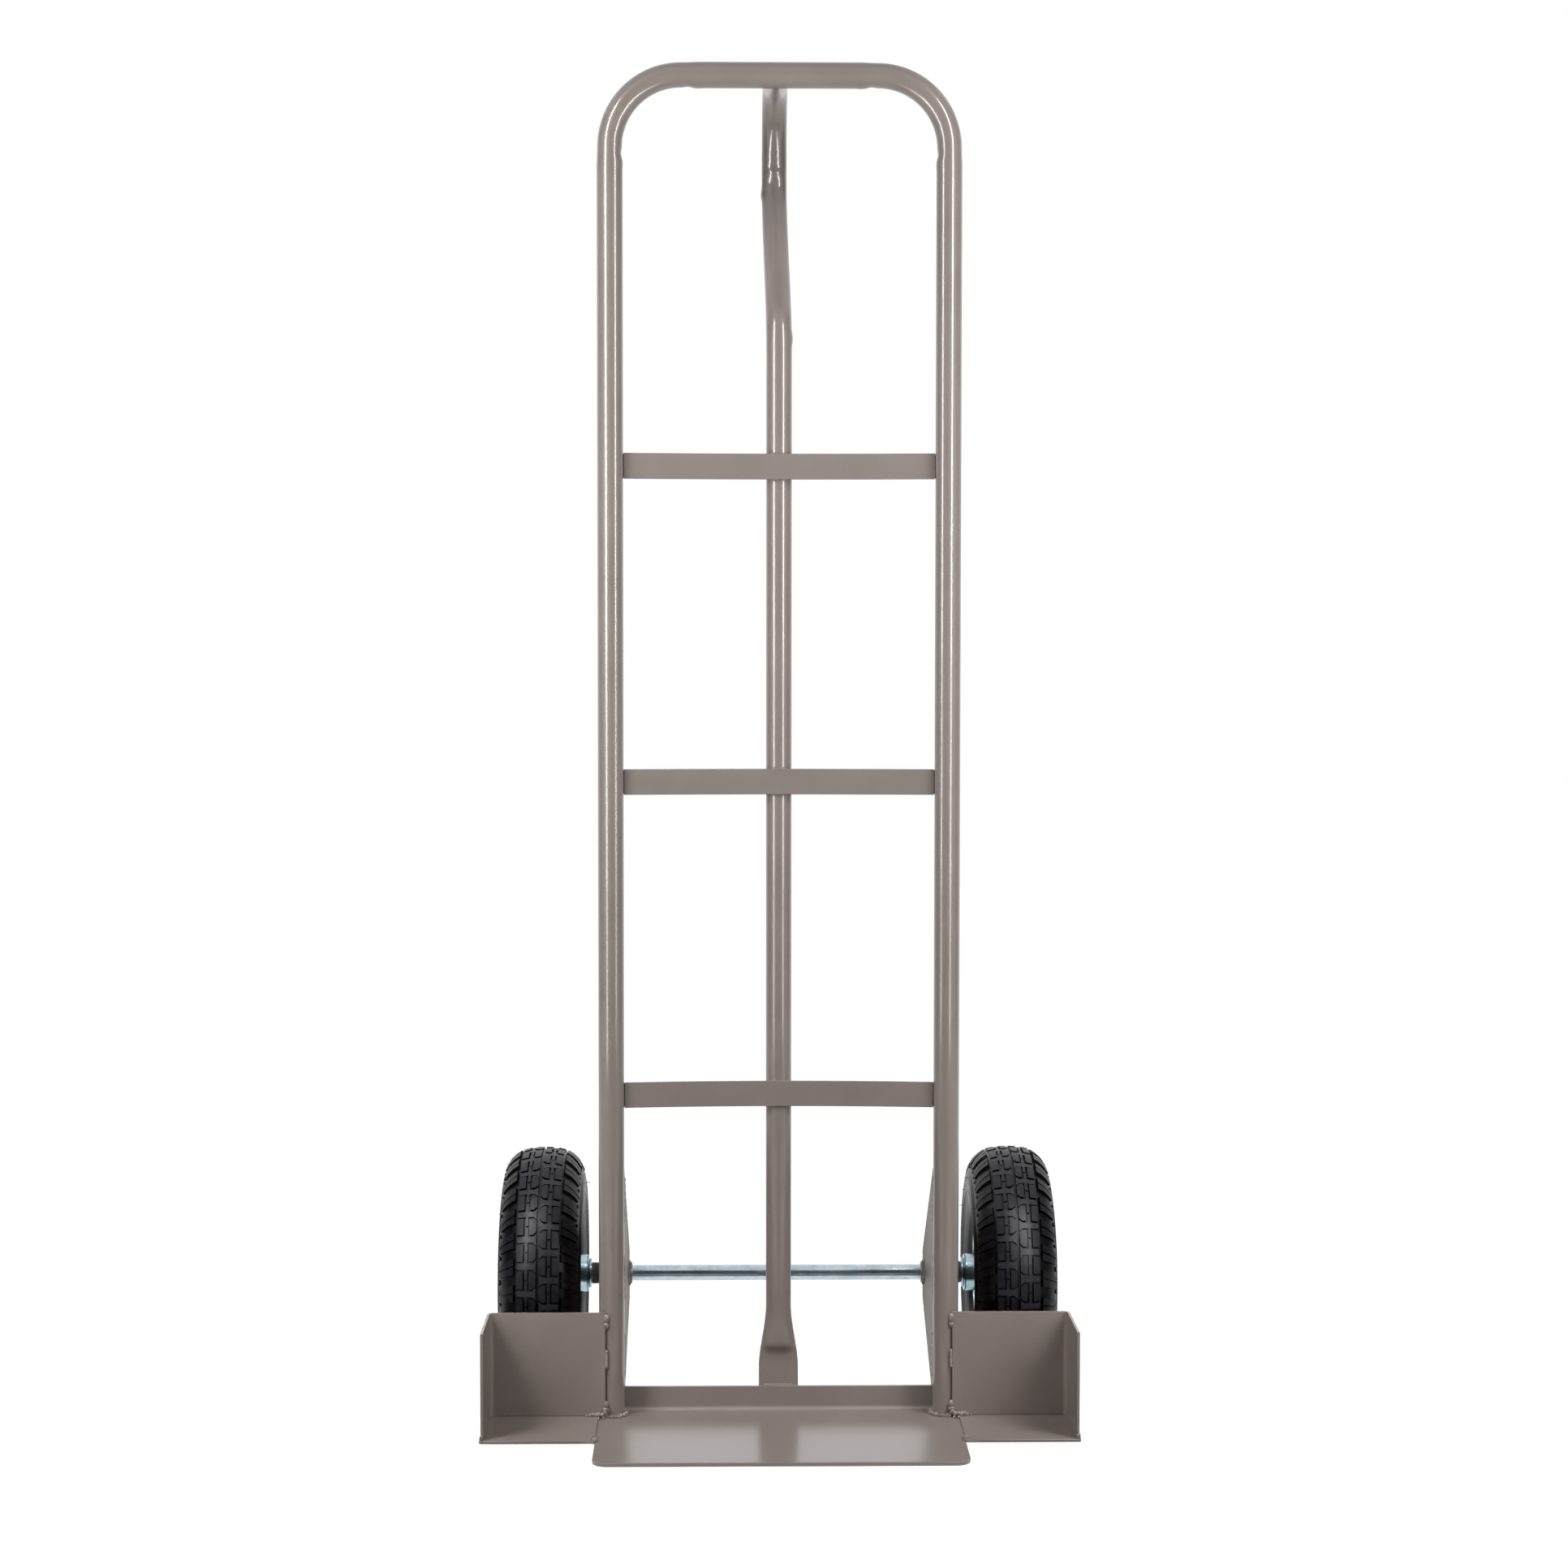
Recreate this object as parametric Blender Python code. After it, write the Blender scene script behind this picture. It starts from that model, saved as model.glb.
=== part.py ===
# Chair dolly: an upright two-wheel hand truck with a P-handle and a wing beside each rail.
# Metres, +Z up, front towards -Y, left and right as the front view shows them.
# Frame pieces are laid out in the truck's own axes: y is 0 on the rails' centre plane,
# z is 0 under the toe plate. The stance empty then leans them until the toe plate's
# front edge and both tyres stand on the floor.
import math

import bmesh
import bpy
from mathutils import Matrix, Vector

# Clearances
GAP = 0.0003
CUT_OVERRUN = 0.003
MERGE_DISTANCE = 0.000001
SMOOTH_ANGLE_DEG = 35
ROUND_PROFILE_SHARE = 0.5

# Frame tube
TUBE_DIAMETER = 0.0254
TUBE_WALL = 0.0016
TUBE_SIDES = 16
TUBE_BEND_RADIUS = 0.070
TUBE_BEND_STEPS = 7

# Outer frame
FRAME_WIDTH = 0.3582
FRAME_HEIGHT = 1.340

# Toe plate, with its flange turned up behind the rails
TOE_THICKNESS = 0.004
TOE_REACH = 0.178
TOE_CORNER_RADIUS = 0.015
TOE_CORNER_STEPS = 5
TOE_BEND_RADIUS = 0.0045
FLANGE_HEIGHT = 0.0236
SHEET_BEND_STEPS = 4

# Weld bead on the toe plate, round the front and inner side of each rail's foot
FOOT_BEAD_RADIUS = 0.0018
FOOT_BEAD_SIDES = 8
FOOT_BEAD_STEPS = 12
FOOT_BEAD_END_DEG = -225

# Cross straps, bowed back from the rails to the centre tube
STRAP_HEIGHT = 0.0254
STRAP_THICKNESS = 0.003
STRAP_BOW = 0.010
STRAP_STEPS = 12
STRAP_LOWEST = 0.3245
STRAP_SPACING = 0.3112
STRAP_NAMES = ("bottom_strap", "middle_strap", "top_strap")

# Centre tube: crushed flat behind the flange, bent out at the top into the P-handle
CRUSHED_WIDTH = 0.0395
CRUSHED_SLOT = 0.0006
CRUSHED_POWER_SHARE = 0.5
CRUSHED_LENGTH = 0.039
CRUSH_TRANSITION = 0.065
CRUSH_STEPS = 5
CENTRE_TUBE_FOOT = 0.006
HANDLE_REACH = 0.1008
HANDLE_SLOPE_DEG = 35
HANDLE_SLOPE_STEPS = 3
HANDLE_UPRIGHT = 0.006

# Wings
WING_THICKNESS = 0.0028
WING_BEND_RADIUS = 0.004
WING_SPAN = 0.289
WING_TOP = 0.1095
WING_DEPTH = 0.0933
WING_LAP = 0.006
WING_FLOOR_THICKNESS = 0.003
WING_FLOOR_STEP = 0.0019
WING_FLOOR_LIP = 0.0015

# Axle, and the gussets and sleeves that carry it
AXLE_DIAMETER = 0.0159
AXLE_SIDES = 16
AXLE_CHAMFER = 0.001
AXLE_TAIL = 0.007
AXLE_BACK = 0.145
AXLE_HEIGHT = 0.1156
SLEEVE_DIAMETER = 0.022
SLEEVE_LENGTH = 0.042
SLEEVE_PROUD = 0.0035
GUSSET_THICKNESS = 0.0033
GUSSET_TOP = 0.250
GUSSET_MARGIN = 0.020
GUSSET_UPPER_LIP = 0.0195
GUSSET_LOWER_LIP = 0.030
GUSSET_FOOT = 0.024

# Wheel and tyre
WHEEL_DIAMETER = 0.262
TYRE_HALF_WIDTH = 0.0413
TYRE_WALL = 0.004
TREAD_DEPTH = 0.0035
TREAD_PITCHES = 30
TREAD_BLOCK_SHARE = 0.76
TREAD_DRAFT_SHARE = 0.05
TREAD_STAGGER_SHARE = 0.5
CENTRE_GROOVE = 0.0032
LUG_PROUD = 0.001
SECTION_MIDDLE_SHARE = 0.54
SECTION_POWER_SHARE = 0.84
CENTRE_ROW_DEG = (0.0, 23.0)
LUG_ROW_DEG = (31.0, 62.0)
DRAFT_DEG = 1.5
SIDEWALL_DEG = (90.0, 122.0)
CAVITY_DEG = (104.0, 55.0, 20.0)
CAVITY_STEPS = 15

# Rim halves, pressed from sheet and bolted back to back
RIM_SHEET = 0.0018
RIM_SIDES = 16
BEAD_RADIUS = 0.0508
BEAD_WIDTH = 0.007
RIM_HALF_WIDTH = 0.027
RIM_DISC_RADIUS = 0.040
RIM_DISH = 0.009
RIM_FLANGE_HEIGHT = 0.008
RIM_CURL = 0.004

# Hub, its sealed bearings and the spacer between them
HUB_LENGTH = 0.0572
HUB_OFFSET = 0.0463
HUB_SIDES = 16
HUB_WALL = 0.0016
BEARING_DIAMETER = 0.0344
BEARING_WIDTH = 0.0111
BEARING_FLANGE_PROUD = 0.0016
BEARING_FLANGE_THICKNESS = 0.0012
RACE_WALL = 0.0024
SPACER_WALL = 0.0016

# Rim bolts
BOLT_COUNT = 4
BOLT_PHASE_SHARE = 0.5
BOLT_CIRCLE_RADIUS = 0.029
BOLT_DIAMETER = 0.008
BOLT_FLATS = 0.013
BOLT_HEAD_HEIGHT = 0.0053
NUT_HEIGHT = 0.0065
BOLT_TAIL = 0.002
BOLT_SIDES = 8
HEX_SIDES = 6

# Washers and split pins
INBOARD_WASHER_THICKNESS = 0.0024
INBOARD_WASHER_DIAMETER = 0.030
OUTBOARD_WASHER_THICKNESS = 0.002
OUTBOARD_WASHER_DIAMETER = 0.028
PIN_WIRE = 0.0015
PIN_WIRE_SIDES = 6
PIN_WIRE_SPACING = 0.0019
PIN_EYE_RADIUS = 0.0028
PIN_EYE_STEPS = 8
PIN_LEG_SPLAY = 0.004
PIN_LEG_TAIL = 0.0035
PIN_HOLE_SIDES = 8

# Inner tube and its bent valve
INNER_TUBE_WALL = 0.002
INNER_TUBE_FIT = 0.0006
VALVE_OFFSET = 0.0145
VALVE_STEM_RADIUS = 0.0038
VALVE_BEND_RADIUS = 0.007
VALVE_BEND_STEPS = 4
VALVE_SIDES = 8
VALVE_ROOT = 0.004
VALVE_DROP = 0.003
VALVE_TAIL = 0.009
VALVE_CAP_WALL = 0.001
VALVE_CAP_LENGTH = 0.009
VALVE_CAP_COVER = 0.006

# Worked out from the above
TUBE_RADIUS = TUBE_DIAMETER / 2
RAIL_X = FRAME_WIDTH / 2 - TUBE_RADIUS
TOP_BAR_Z = FRAME_HEIGHT - TUBE_RADIUS
WHEEL_RADIUS = WHEEL_DIAMETER / 2
FLANGE_FRONT = TUBE_RADIUS + TOE_BEND_RADIUS
FLANGE_BACK = FLANGE_FRONT + TOE_THICKNESS
FLANGE_TOP = TOE_THICKNESS + FLANGE_HEIGHT
CENTRE_TUBE_Y = STRAP_BOW + STRAP_THICKNESS / 2 + GAP + TUBE_RADIUS
GUSSET_INNER_X = RAIL_X - TUBE_RADIUS + GAP
SLEEVE_INNER_X = GUSSET_INNER_X - SLEEVE_PROUD
SLEEVE_OUTER_X = SLEEVE_INNER_X + SLEEVE_LENGTH
INBOARD_WASHER_X = SLEEVE_OUTER_X + GAP
HUB_INNER_X = INBOARD_WASHER_X + INBOARD_WASHER_THICKNESS + GAP
HUB_OUTER_X = HUB_INNER_X + HUB_LENGTH
WHEEL_X = HUB_INNER_X + HUB_OFFSET
OUTBOARD_WASHER_X = HUB_OUTER_X + GAP
PIN_HOLE_RADIUS = ((PIN_WIRE_SPACING + PIN_WIRE) / 2 + GAP) / math.cos(math.pi / PIN_HOLE_SIDES)
PIN_X = OUTBOARD_WASHER_X + OUTBOARD_WASHER_THICKNESS + GAP + PIN_HOLE_RADIUS
AXLE_END_X = PIN_X + PIN_HOLE_RADIUS + AXLE_TAIL
AXLE_RADIUS = AXLE_DIAMETER / 2
AXLE_BORE_RADIUS = AXLE_RADIUS + GAP
BEARING_RADIUS = BEARING_DIAMETER / 2
RACE_RADIUS = AXLE_BORE_RADIUS + RACE_WALL
HUB_BORE_RADIUS = BEARING_RADIUS + GAP
HUB_RADIUS = HUB_BORE_RADIUS + HUB_WALL
SECTION_MIDDLE = BEAD_RADIUS + (WHEEL_RADIUS - BEAD_RADIUS) * SECTION_MIDDLE_SHARE
BEAD_TOP = BEAD_RADIUS + RIM_FLANGE_HEIGHT + RIM_SHEET
BEAD_OUTER_X = RIM_HALF_WIDTH - GAP
BEAD_INNER_X = BEAD_OUTER_X - BEAD_WIDTH
BEAD_SEAT = BEAD_RADIUS * math.cos(math.pi / TREAD_PITCHES) - GAP
INNER_TUBE_SEAT = (BEAD_RADIUS + GAP) / math.cos(math.pi / CAVITY_STEPS)
RIM_HOLE_RADIUS = (HUB_RADIUS + GAP) / math.cos(math.pi / RIM_SIDES)
RIM_DISC_FACE = GAP / 2 + RIM_SHEET
TURN_TO_X = Matrix.Rotation(math.pi / 2, 3, "Y")

# Where the truck stands
TOE_TO_AXLE = AXLE_BACK + TOE_REACH
AXLE_DISTANCE = math.hypot(TOE_TO_AXLE, AXLE_HEIGHT)
LEAN = math.asin(WHEEL_RADIUS / AXLE_DISTANCE) - math.atan2(AXLE_HEIGHT, TOE_TO_AXLE)
TOE_TO_WHEEL = math.sqrt(AXLE_DISTANCE ** 2 - WHEEL_RADIUS ** 2)
TOE_OVERHANG = TOE_THICKNESS * math.sin(LEAN)
TOE_EDGE_Y = -(TOE_TO_WHEEL + WHEEL_RADIUS - TOE_OVERHANG) / 2
AXLE_Y = TOE_EDGE_Y + TOE_TO_WHEEL

# Finishes: colour, roughness, metallic
POWDER_COAT = ((0.245, 0.205, 0.183), 0.38, 0.0)
ZINC = ((0.58, 0.64, 0.68), 0.30, 1.0)
BRIGHT_STEEL = ((0.62, 0.62, 0.62), 0.28, 1.0)
TYRE_RUBBER = ((0.012, 0.012, 0.013), 0.55, 0.0)
BUTYL_RUBBER = ((0.020, 0.020, 0.020), 0.70, 0.0)
BRASS = ((0.62, 0.46, 0.20), 0.32, 1.0)
CAP_PLASTIC = ((0.015, 0.015, 0.015), 0.45, 0.0)

SIDES = (("left", -1), ("right", 1))


def clear_scene():
    for obj in list(bpy.data.objects):
        bpy.data.objects.remove(obj, do_unlink=True)


def make_material(name, finish):
    colour, roughness, metallic = finish
    material = bpy.data.materials.new(name)
    material.use_nodes = True
    shader = material.node_tree.nodes["Principled BSDF"]
    shader.inputs["Base Color"].default_value = (*colour, 1.0)
    shader.inputs["Roughness"].default_value = roughness
    shader.inputs["Metallic"].default_value = metallic
    return material


def add_empty(name, location, lean=0.0):
    empty = bpy.data.objects.new(name, None)
    empty.location = location
    empty.rotation_euler = (lean, 0.0, 0.0)
    bpy.context.collection.objects.link(empty)
    return empty


def add_object(name, bm, parent, location):
    bmesh.ops.recalc_face_normals(bm, faces=bm.faces)
    mesh = bpy.data.meshes.new(name)
    bm.to_mesh(mesh)
    bm.free()
    obj = bpy.data.objects.new(name, mesh)
    obj.parent = parent
    obj.location = location
    bpy.context.collection.objects.link(obj)
    return obj


def add_piece(name, bm, finish, parent, location=(0.0, 0.0, 0.0)):
    piece = add_object(name, bm, parent, location)
    piece.data.shade_smooth()
    piece.data.set_sharp_from_angle(angle=math.radians(SMOOTH_ANGLE_DEG))
    piece.data.materials.append(make_material(name, finish))
    return piece


def add_cutter(name, bm, parent, location=(0.0, 0.0, 0.0)):
    cutter = add_object(name, bm, parent, location)
    cutter.hide_render = True
    cutter.display_type = "WIRE"
    return cutter


def add_boolean(piece, other, operation):
    boolean = piece.modifiers.new(other.name, "BOOLEAN")
    boolean.operation = operation
    boolean.solver = "EXACT"
    boolean.object = other


def cut(piece, cutter):
    add_boolean(piece, cutter, "DIFFERENCE")


def fuse(piece, other):
    add_boolean(piece, other, "UNION")


def arc(centre, radius, start_deg, end_deg, steps):
    points = []
    for step in range(steps + 1):
        angle = math.radians(start_deg + (end_deg - start_deg) * step / steps)
        points.append((centre[0] + radius * math.cos(angle), centre[1] + radius * math.sin(angle)))
    return points


def signed_power(value, power):
    return math.copysign(abs(value) ** power, value)


def sheet_outline(path, thickness):
    # The closed outline of a sheet whose middle line is the path, its corners mitred
    points = [Vector(point) for point in path]
    steps = [(after - before).normalized() for before, after in zip(points, points[1:])]
    one_side = []
    other_side = []
    for index, point in enumerate(points):
        before = steps[max(index - 1, 0)]
        after = steps[min(index, len(steps) - 1)]
        along = (before + after).normalized()
        across = Vector((-along.y, along.x)) * (thickness / 2 / along.dot(after))
        one_side.append(point + across)
        other_side.append(point - across)
    return one_side + other_side[::-1]


def prism(outline, place, start, end):
    # A flat outline of (u, v) points, drawn out from start to end along the third axis
    bm = bmesh.new()
    near = [bm.verts.new(place(u, v, start)) for u, v in outline]
    far = [bm.verts.new(place(u, v, end)) for u, v in outline]
    bm.faces.new(near)
    bm.faces.new(far)
    bridge(bm, near, far)
    return bm


def along_x(u, v, w):
    return (w, u, v)


def along_z(u, v, w):
    return (u, v, w)


def turned(outline, steps):
    # A closed outline of (x, radius) points, spun once round the X axis from its lowest place
    bm = bmesh.new()
    verts = [bm.verts.new((x, 0.0, -radius)) for x, radius in outline]
    pairs = [(vert, verts[index - 1]) for index, vert in enumerate(verts)]
    edges = [bm.edges.new(pair) for pair in pairs if pair[0].co.z or pair[1].co.z]
    bmesh.ops.spin(bm, geom=verts + edges, cent=(0.0, 0.0, 0.0), axis=(1.0, 0.0, 0.0),
                   angle=math.tau, steps=steps, use_merge=True)
    bmesh.ops.remove_doubles(bm, verts=bm.verts, dist=MERGE_DISTANCE)
    return bm


def collar(start, end, bore, radius):
    return [(start, bore), (start, radius), (end, radius), (end, bore)]


def rod(radius, start, end, sides, direction="X"):
    # A solid cylinder from start to end along X or Z
    bm = bmesh.new()
    bmesh.ops.create_cone(bm, cap_ends=True, segments=sides, radius1=radius, radius2=radius,
                          depth=end - start)
    bmesh.ops.translate(bm, verts=bm.verts, vec=(0.0, 0.0, (start + end) / 2))
    if direction == "X":
        bmesh.ops.rotate(bm, verts=bm.verts, cent=(0.0, 0.0, 0.0), matrix=TURN_TO_X)
    return bm


def turn_half_side(bm, sides, axis):
    # So that a cut meets the middle of a flat, not the edge between two
    half_side = Matrix.Rotation(math.pi / sides, 3, axis)
    bmesh.ops.rotate(bm, verts=bm.verts, cent=(0.0, 0.0, 0.0), matrix=half_side)


def section_ring(bm, station, along, across, inset, sides):
    # One ring of a sweep: a circle, or a wider and flatter one where the tube is crushed
    centre, half_width, half_depth, power = station
    other = along.cross(across)
    verts = []
    for side in range(sides):
        angle = math.tau * side / sides
        u = signed_power(math.cos(angle), power) * (half_width - inset)
        v = signed_power(math.sin(angle), power) * (half_depth - inset)
        verts.append(bm.verts.new(centre + across * u + other * v))
    return verts


def bridge(bm, first, second):
    for index, vert in enumerate(first):
        bm.faces.new((first[index - 1], vert, second[index], second[index - 1]))


def sweep(stations, across, sides, wall=None):
    # A tube along the stations, whose path lies in the plane square to across
    bm = bmesh.new()
    points = [station[0] for station in stations]
    outside = []
    inside = []
    for index, station in enumerate(stations):
        before = points[index] - points[max(index - 1, 0)]
        after = points[min(index + 1, len(points) - 1)] - points[index]
        along = (before.normalized() + after.normalized()).normalized()
        outside.append(section_ring(bm, station, along, across, 0.0, sides))
        if wall:
            inside.append(section_ring(bm, station, along, across, wall, sides))
    for rings in (outside, inside):
        for first, second in zip(rings, rings[1:]):
            bridge(bm, first, second)
    for end in (0, -1):
        if wall:
            bridge(bm, outside[end], inside[end])
        else:
            bm.faces.new(outside[end])
    return bm


def round_stations(points, radius):
    return [(Vector(point), radius, radius, 1.0) for point in points]


def make_outer_frame(stance):
    foot = TOE_THICKNESS + GAP
    bend_x = RAIL_X - TUBE_BEND_RADIUS
    bend_z = TOP_BAR_Z - TUBE_BEND_RADIUS
    outline = [(-RAIL_X, foot)]
    outline += arc((-bend_x, bend_z), TUBE_BEND_RADIUS, 180, 90, TUBE_BEND_STEPS)
    outline += arc((bend_x, bend_z), TUBE_BEND_RADIUS, 90, 0, TUBE_BEND_STEPS)
    outline += [(RAIL_X, foot)]
    stations = round_stations([(x, 0.0, z) for x, z in outline], TUBE_RADIUS)
    bm = sweep(stations, Vector((0.0, 1.0, 0.0)), TUBE_SIDES, TUBE_WALL)
    add_piece("outer_frame", bm, POWDER_COAT, stance)


def crushed_stations():
    # Flat behind the flange, then eased up to the round tube
    half_depth = TUBE_WALL + CRUSHED_SLOT / 2
    flat_y = FLANGE_BACK + GAP + half_depth
    flat_top = CENTRE_TUBE_FOOT + CRUSHED_LENGTH
    stations = [(Vector((0.0, flat_y, CENTRE_TUBE_FOOT)), CRUSHED_WIDTH / 2, half_depth,
                 CRUSHED_POWER_SHARE)]
    for step in range(CRUSH_STEPS + 1):
        share = step / CRUSH_STEPS
        ease = share * share * (3 - 2 * share)
        centre = Vector((0.0, flat_y + (CENTRE_TUBE_Y - flat_y) * ease,
                         flat_top + CRUSH_TRANSITION * share))
        stations.append((centre,
                         CRUSHED_WIDTH / 2 + (TUBE_RADIUS - CRUSHED_WIDTH / 2) * ease,
                         half_depth + (TUBE_RADIUS - half_depth) * ease,
                         CRUSHED_POWER_SHARE + (1 - CRUSHED_POWER_SHARE) * ease))
    return stations


def handle_points():
    # From the lower bend, back up the slope and forward over the top to the top bar
    tangent = TUBE_BEND_RADIUS * math.tan(math.radians(HANDLE_SLOPE_DEG) / 2)
    grip_y = CENTRE_TUBE_Y + HANDLE_REACH
    upper_z = TOP_BAR_Z - TUBE_BEND_RADIUS - HANDLE_UPRIGHT - tangent
    lower_z = upper_z - HANDLE_REACH / math.tan(math.radians(HANDLE_SLOPE_DEG))
    points = arc((CENTRE_TUBE_Y + TUBE_BEND_RADIUS, lower_z - tangent), TUBE_BEND_RADIUS,
                 180, 180 - HANDLE_SLOPE_DEG, HANDLE_SLOPE_STEPS)
    points += arc((grip_y - TUBE_BEND_RADIUS, upper_z + tangent), TUBE_BEND_RADIUS,
                  -HANDLE_SLOPE_DEG, 0, HANDLE_SLOPE_STEPS)
    points += arc((grip_y - TUBE_BEND_RADIUS, TOP_BAR_Z - TUBE_BEND_RADIUS), TUBE_BEND_RADIUS,
                  0, 90, TUBE_BEND_STEPS)
    points += [(0.0, TOP_BAR_Z)]
    return [(0.0, y, z) for y, z in points]


def make_centre_tube(stance):
    stations = crushed_stations() + round_stations(handle_points(), TUBE_RADIUS)
    bm = sweep(stations, Vector((1.0, 0.0, 0.0)), TUBE_SIDES, TUBE_WALL)
    piece = add_piece("centre_tube", bm, POWDER_COAT, stance)
    reach = TUBE_RADIUS + CUT_OVERRUN
    cope = add_cutter("centre_tube_cope", rod(TUBE_RADIUS + GAP, -reach, reach, TUBE_SIDES),
                      stance, (0.0, 0.0, TOP_BAR_Z))
    cut(piece, cope)


def make_straps(stance):
    half_span = RAIL_X - TUBE_RADIUS - GAP
    radius = (half_span ** 2 + STRAP_BOW ** 2) / (2 * STRAP_BOW)
    swing = math.degrees(math.asin(half_span / radius))
    middle_line = arc((0.0, STRAP_BOW - radius), radius, 90 + swing, 90 - swing, STRAP_STEPS)
    outline = sheet_outline(middle_line, STRAP_THICKNESS)
    for level, name in enumerate(STRAP_NAMES):
        bottom = STRAP_LOWEST + STRAP_SPACING * level - STRAP_HEIGHT / 2
        bm = prism(outline, along_z, bottom, bottom + STRAP_HEIGHT)
        add_piece(name, bm, POWDER_COAT, stance)


def make_toe_plate(stance):
    half = TOE_THICKNESS / 2
    bend = TOE_BEND_RADIUS + half
    flange_y = FLANGE_FRONT + half
    path = [(-TOE_REACH, half)]
    path += arc((flange_y - bend, half + bend), bend, -90, 0, SHEET_BEND_STEPS)
    path += [(flange_y, FLANGE_TOP)]
    bm = prism(sheet_outline(path, TOE_THICKNESS), along_x, -FRAME_WIDTH / 2, FRAME_WIDTH / 2)
    corners = [edge for edge in bm.edges if is_front_corner(edge)]
    bmesh.ops.bevel(bm, geom=corners, offset=TOE_CORNER_RADIUS, offset_type="OFFSET",
                    segments=TOE_CORNER_STEPS, profile=ROUND_PROFILE_SHARE, affect="EDGES")
    add_foot_beads(add_piece("toe_plate", bm, POWDER_COAT, stance), stance)


def add_foot_beads(toe_plate, stance):
    # Half sunk in the plate, from its side edge round the rail's front to its inner side
    half_step = math.radians(abs(FOOT_BEAD_END_DEG)) / FOOT_BEAD_STEPS / 2
    radius = (TUBE_RADIUS + GAP + FOOT_BEAD_RADIUS) / math.cos(half_step)
    start_deg = -math.degrees(math.acos((TUBE_RADIUS - FOOT_BEAD_RADIUS) / radius))
    path = arc((RAIL_X, 0.0), radius, start_deg, FOOT_BEAD_END_DEG, FOOT_BEAD_STEPS)
    for side_name, side in SIDES:
        points = [(x * side, y, TOE_THICKNESS - GAP) for x, y in path]
        bead = sweep(round_stations(points, FOOT_BEAD_RADIUS), Vector((0.0, 0.0, 1.0)),
                     FOOT_BEAD_SIDES)
        fuse(toe_plate, add_cutter(side_name + "_foot_bead", bead, stance))


def is_front_corner(edge):
    first, second = (vert.co for vert in edge.verts)
    at_front = max(first.y, second.y) < GAP - TOE_REACH
    upright = abs(first.x - second.x) < GAP
    return at_front and upright


def make_wing(side_name, side, stance):
    # The back plate laps the rail's front and turns forward at its outer end
    clearance = math.sqrt(TUBE_RADIUS ** 2 - WING_LAP ** 2) + GAP
    half = WING_THICKNESS / 2
    bend = WING_BEND_RADIUS + half
    back_y = -clearance - half
    outer_x = WING_SPAN - half
    path = [(RAIL_X + WING_LAP, back_y)]
    path += arc((outer_x - bend, back_y - bend), bend, 90, 0, SHEET_BEND_STEPS)
    path += [(outer_x, -clearance - WING_DEPTH)]
    path = [(x * side, y) for x, y in path]
    floor_top = TOE_THICKNESS + WING_FLOOR_STEP
    shell = prism(sheet_outline(path, WING_THICKNESS), along_z, floor_top + GAP, WING_TOP)
    add_piece(side_name + "_wing_shell", shell, POWDER_COAT, stance)
    inner_x = (FRAME_WIDTH / 2 + GAP) * side
    outer_x = (WING_SPAN + WING_FLOOR_LIP) * side
    front_y = -clearance - WING_DEPTH - WING_FLOOR_LIP
    plan = [(inner_x, -clearance), (outer_x, -clearance), (outer_x, front_y), (inner_x, front_y)]
    floor = prism(plan, along_z, floor_top - WING_FLOOR_THICKNESS, floor_top)
    add_piece(side_name + "_wing_floor", floor, POWDER_COAT, stance)


def gusset_outline():
    # Up behind the rail, back over the sleeve, and down to the flange's rear face
    offset = RAIL_X - GUSSET_INNER_X - GUSSET_THICKNESS
    rail_y = math.sqrt(TUBE_RADIUS ** 2 - offset ** 2) + GAP
    flange_y = FLANGE_BACK + GAP
    rear_y = AXLE_BACK + GUSSET_MARGIN
    return [(rail_y, GUSSET_TOP), (rear_y, AXLE_HEIGHT + GUSSET_UPPER_LIP),
            (rear_y, AXLE_HEIGHT - GUSSET_LOWER_LIP), (flange_y, GUSSET_FOOT),
            (flange_y, FLANGE_TOP + GAP), (rail_y, FLANGE_TOP + GAP)]


def make_gussets(stance):
    reach = GUSSET_INNER_X + GUSSET_THICKNESS + CUT_OVERRUN
    hole = rod(SLEEVE_DIAMETER / 2 + GAP, -reach, reach, HUB_SIDES)
    cutter = add_cutter("gusset_hole", hole, stance, (0.0, AXLE_BACK, AXLE_HEIGHT))
    for side_name, side in SIDES:
        bm = prism(gusset_outline(), along_x, side * GUSSET_INNER_X,
                   side * (GUSSET_INNER_X + GUSSET_THICKNESS))
        cut(add_piece(side_name + "_gusset", bm, POWDER_COAT, stance), cutter)


def make_axle(axle_line):
    bm = rod(AXLE_RADIUS, -AXLE_END_X, AXLE_END_X, AXLE_SIDES)
    rims = [edge for edge in bm.edges if abs(edge.verts[0].co.x - edge.verts[1].co.x) < GAP]
    bmesh.ops.bevel(bm, geom=rims, offset=AXLE_CHAMFER, segments=1, profile=ROUND_PROFILE_SHARE,
                    affect="EDGES")
    piece = add_piece("axle", bm, ZINC, axle_line)
    reach = AXLE_RADIUS + CUT_OVERRUN
    for side_name, side in SIDES:
        hole = rod(PIN_HOLE_RADIUS, -reach, reach, PIN_HOLE_SIDES, "Z")
        turn_half_side(hole, PIN_HOLE_SIDES, "Z")
        cut(piece, add_cutter(side_name + "_pin_hole", hole, axle_line, (side * PIN_X, 0.0, 0.0)))


def add_turned(name, outline, side, steps, finish, parent):
    mirrored = [(x * side, radius) for x, radius in outline]
    return add_piece(name, turned(mirrored, steps), finish, parent)


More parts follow.
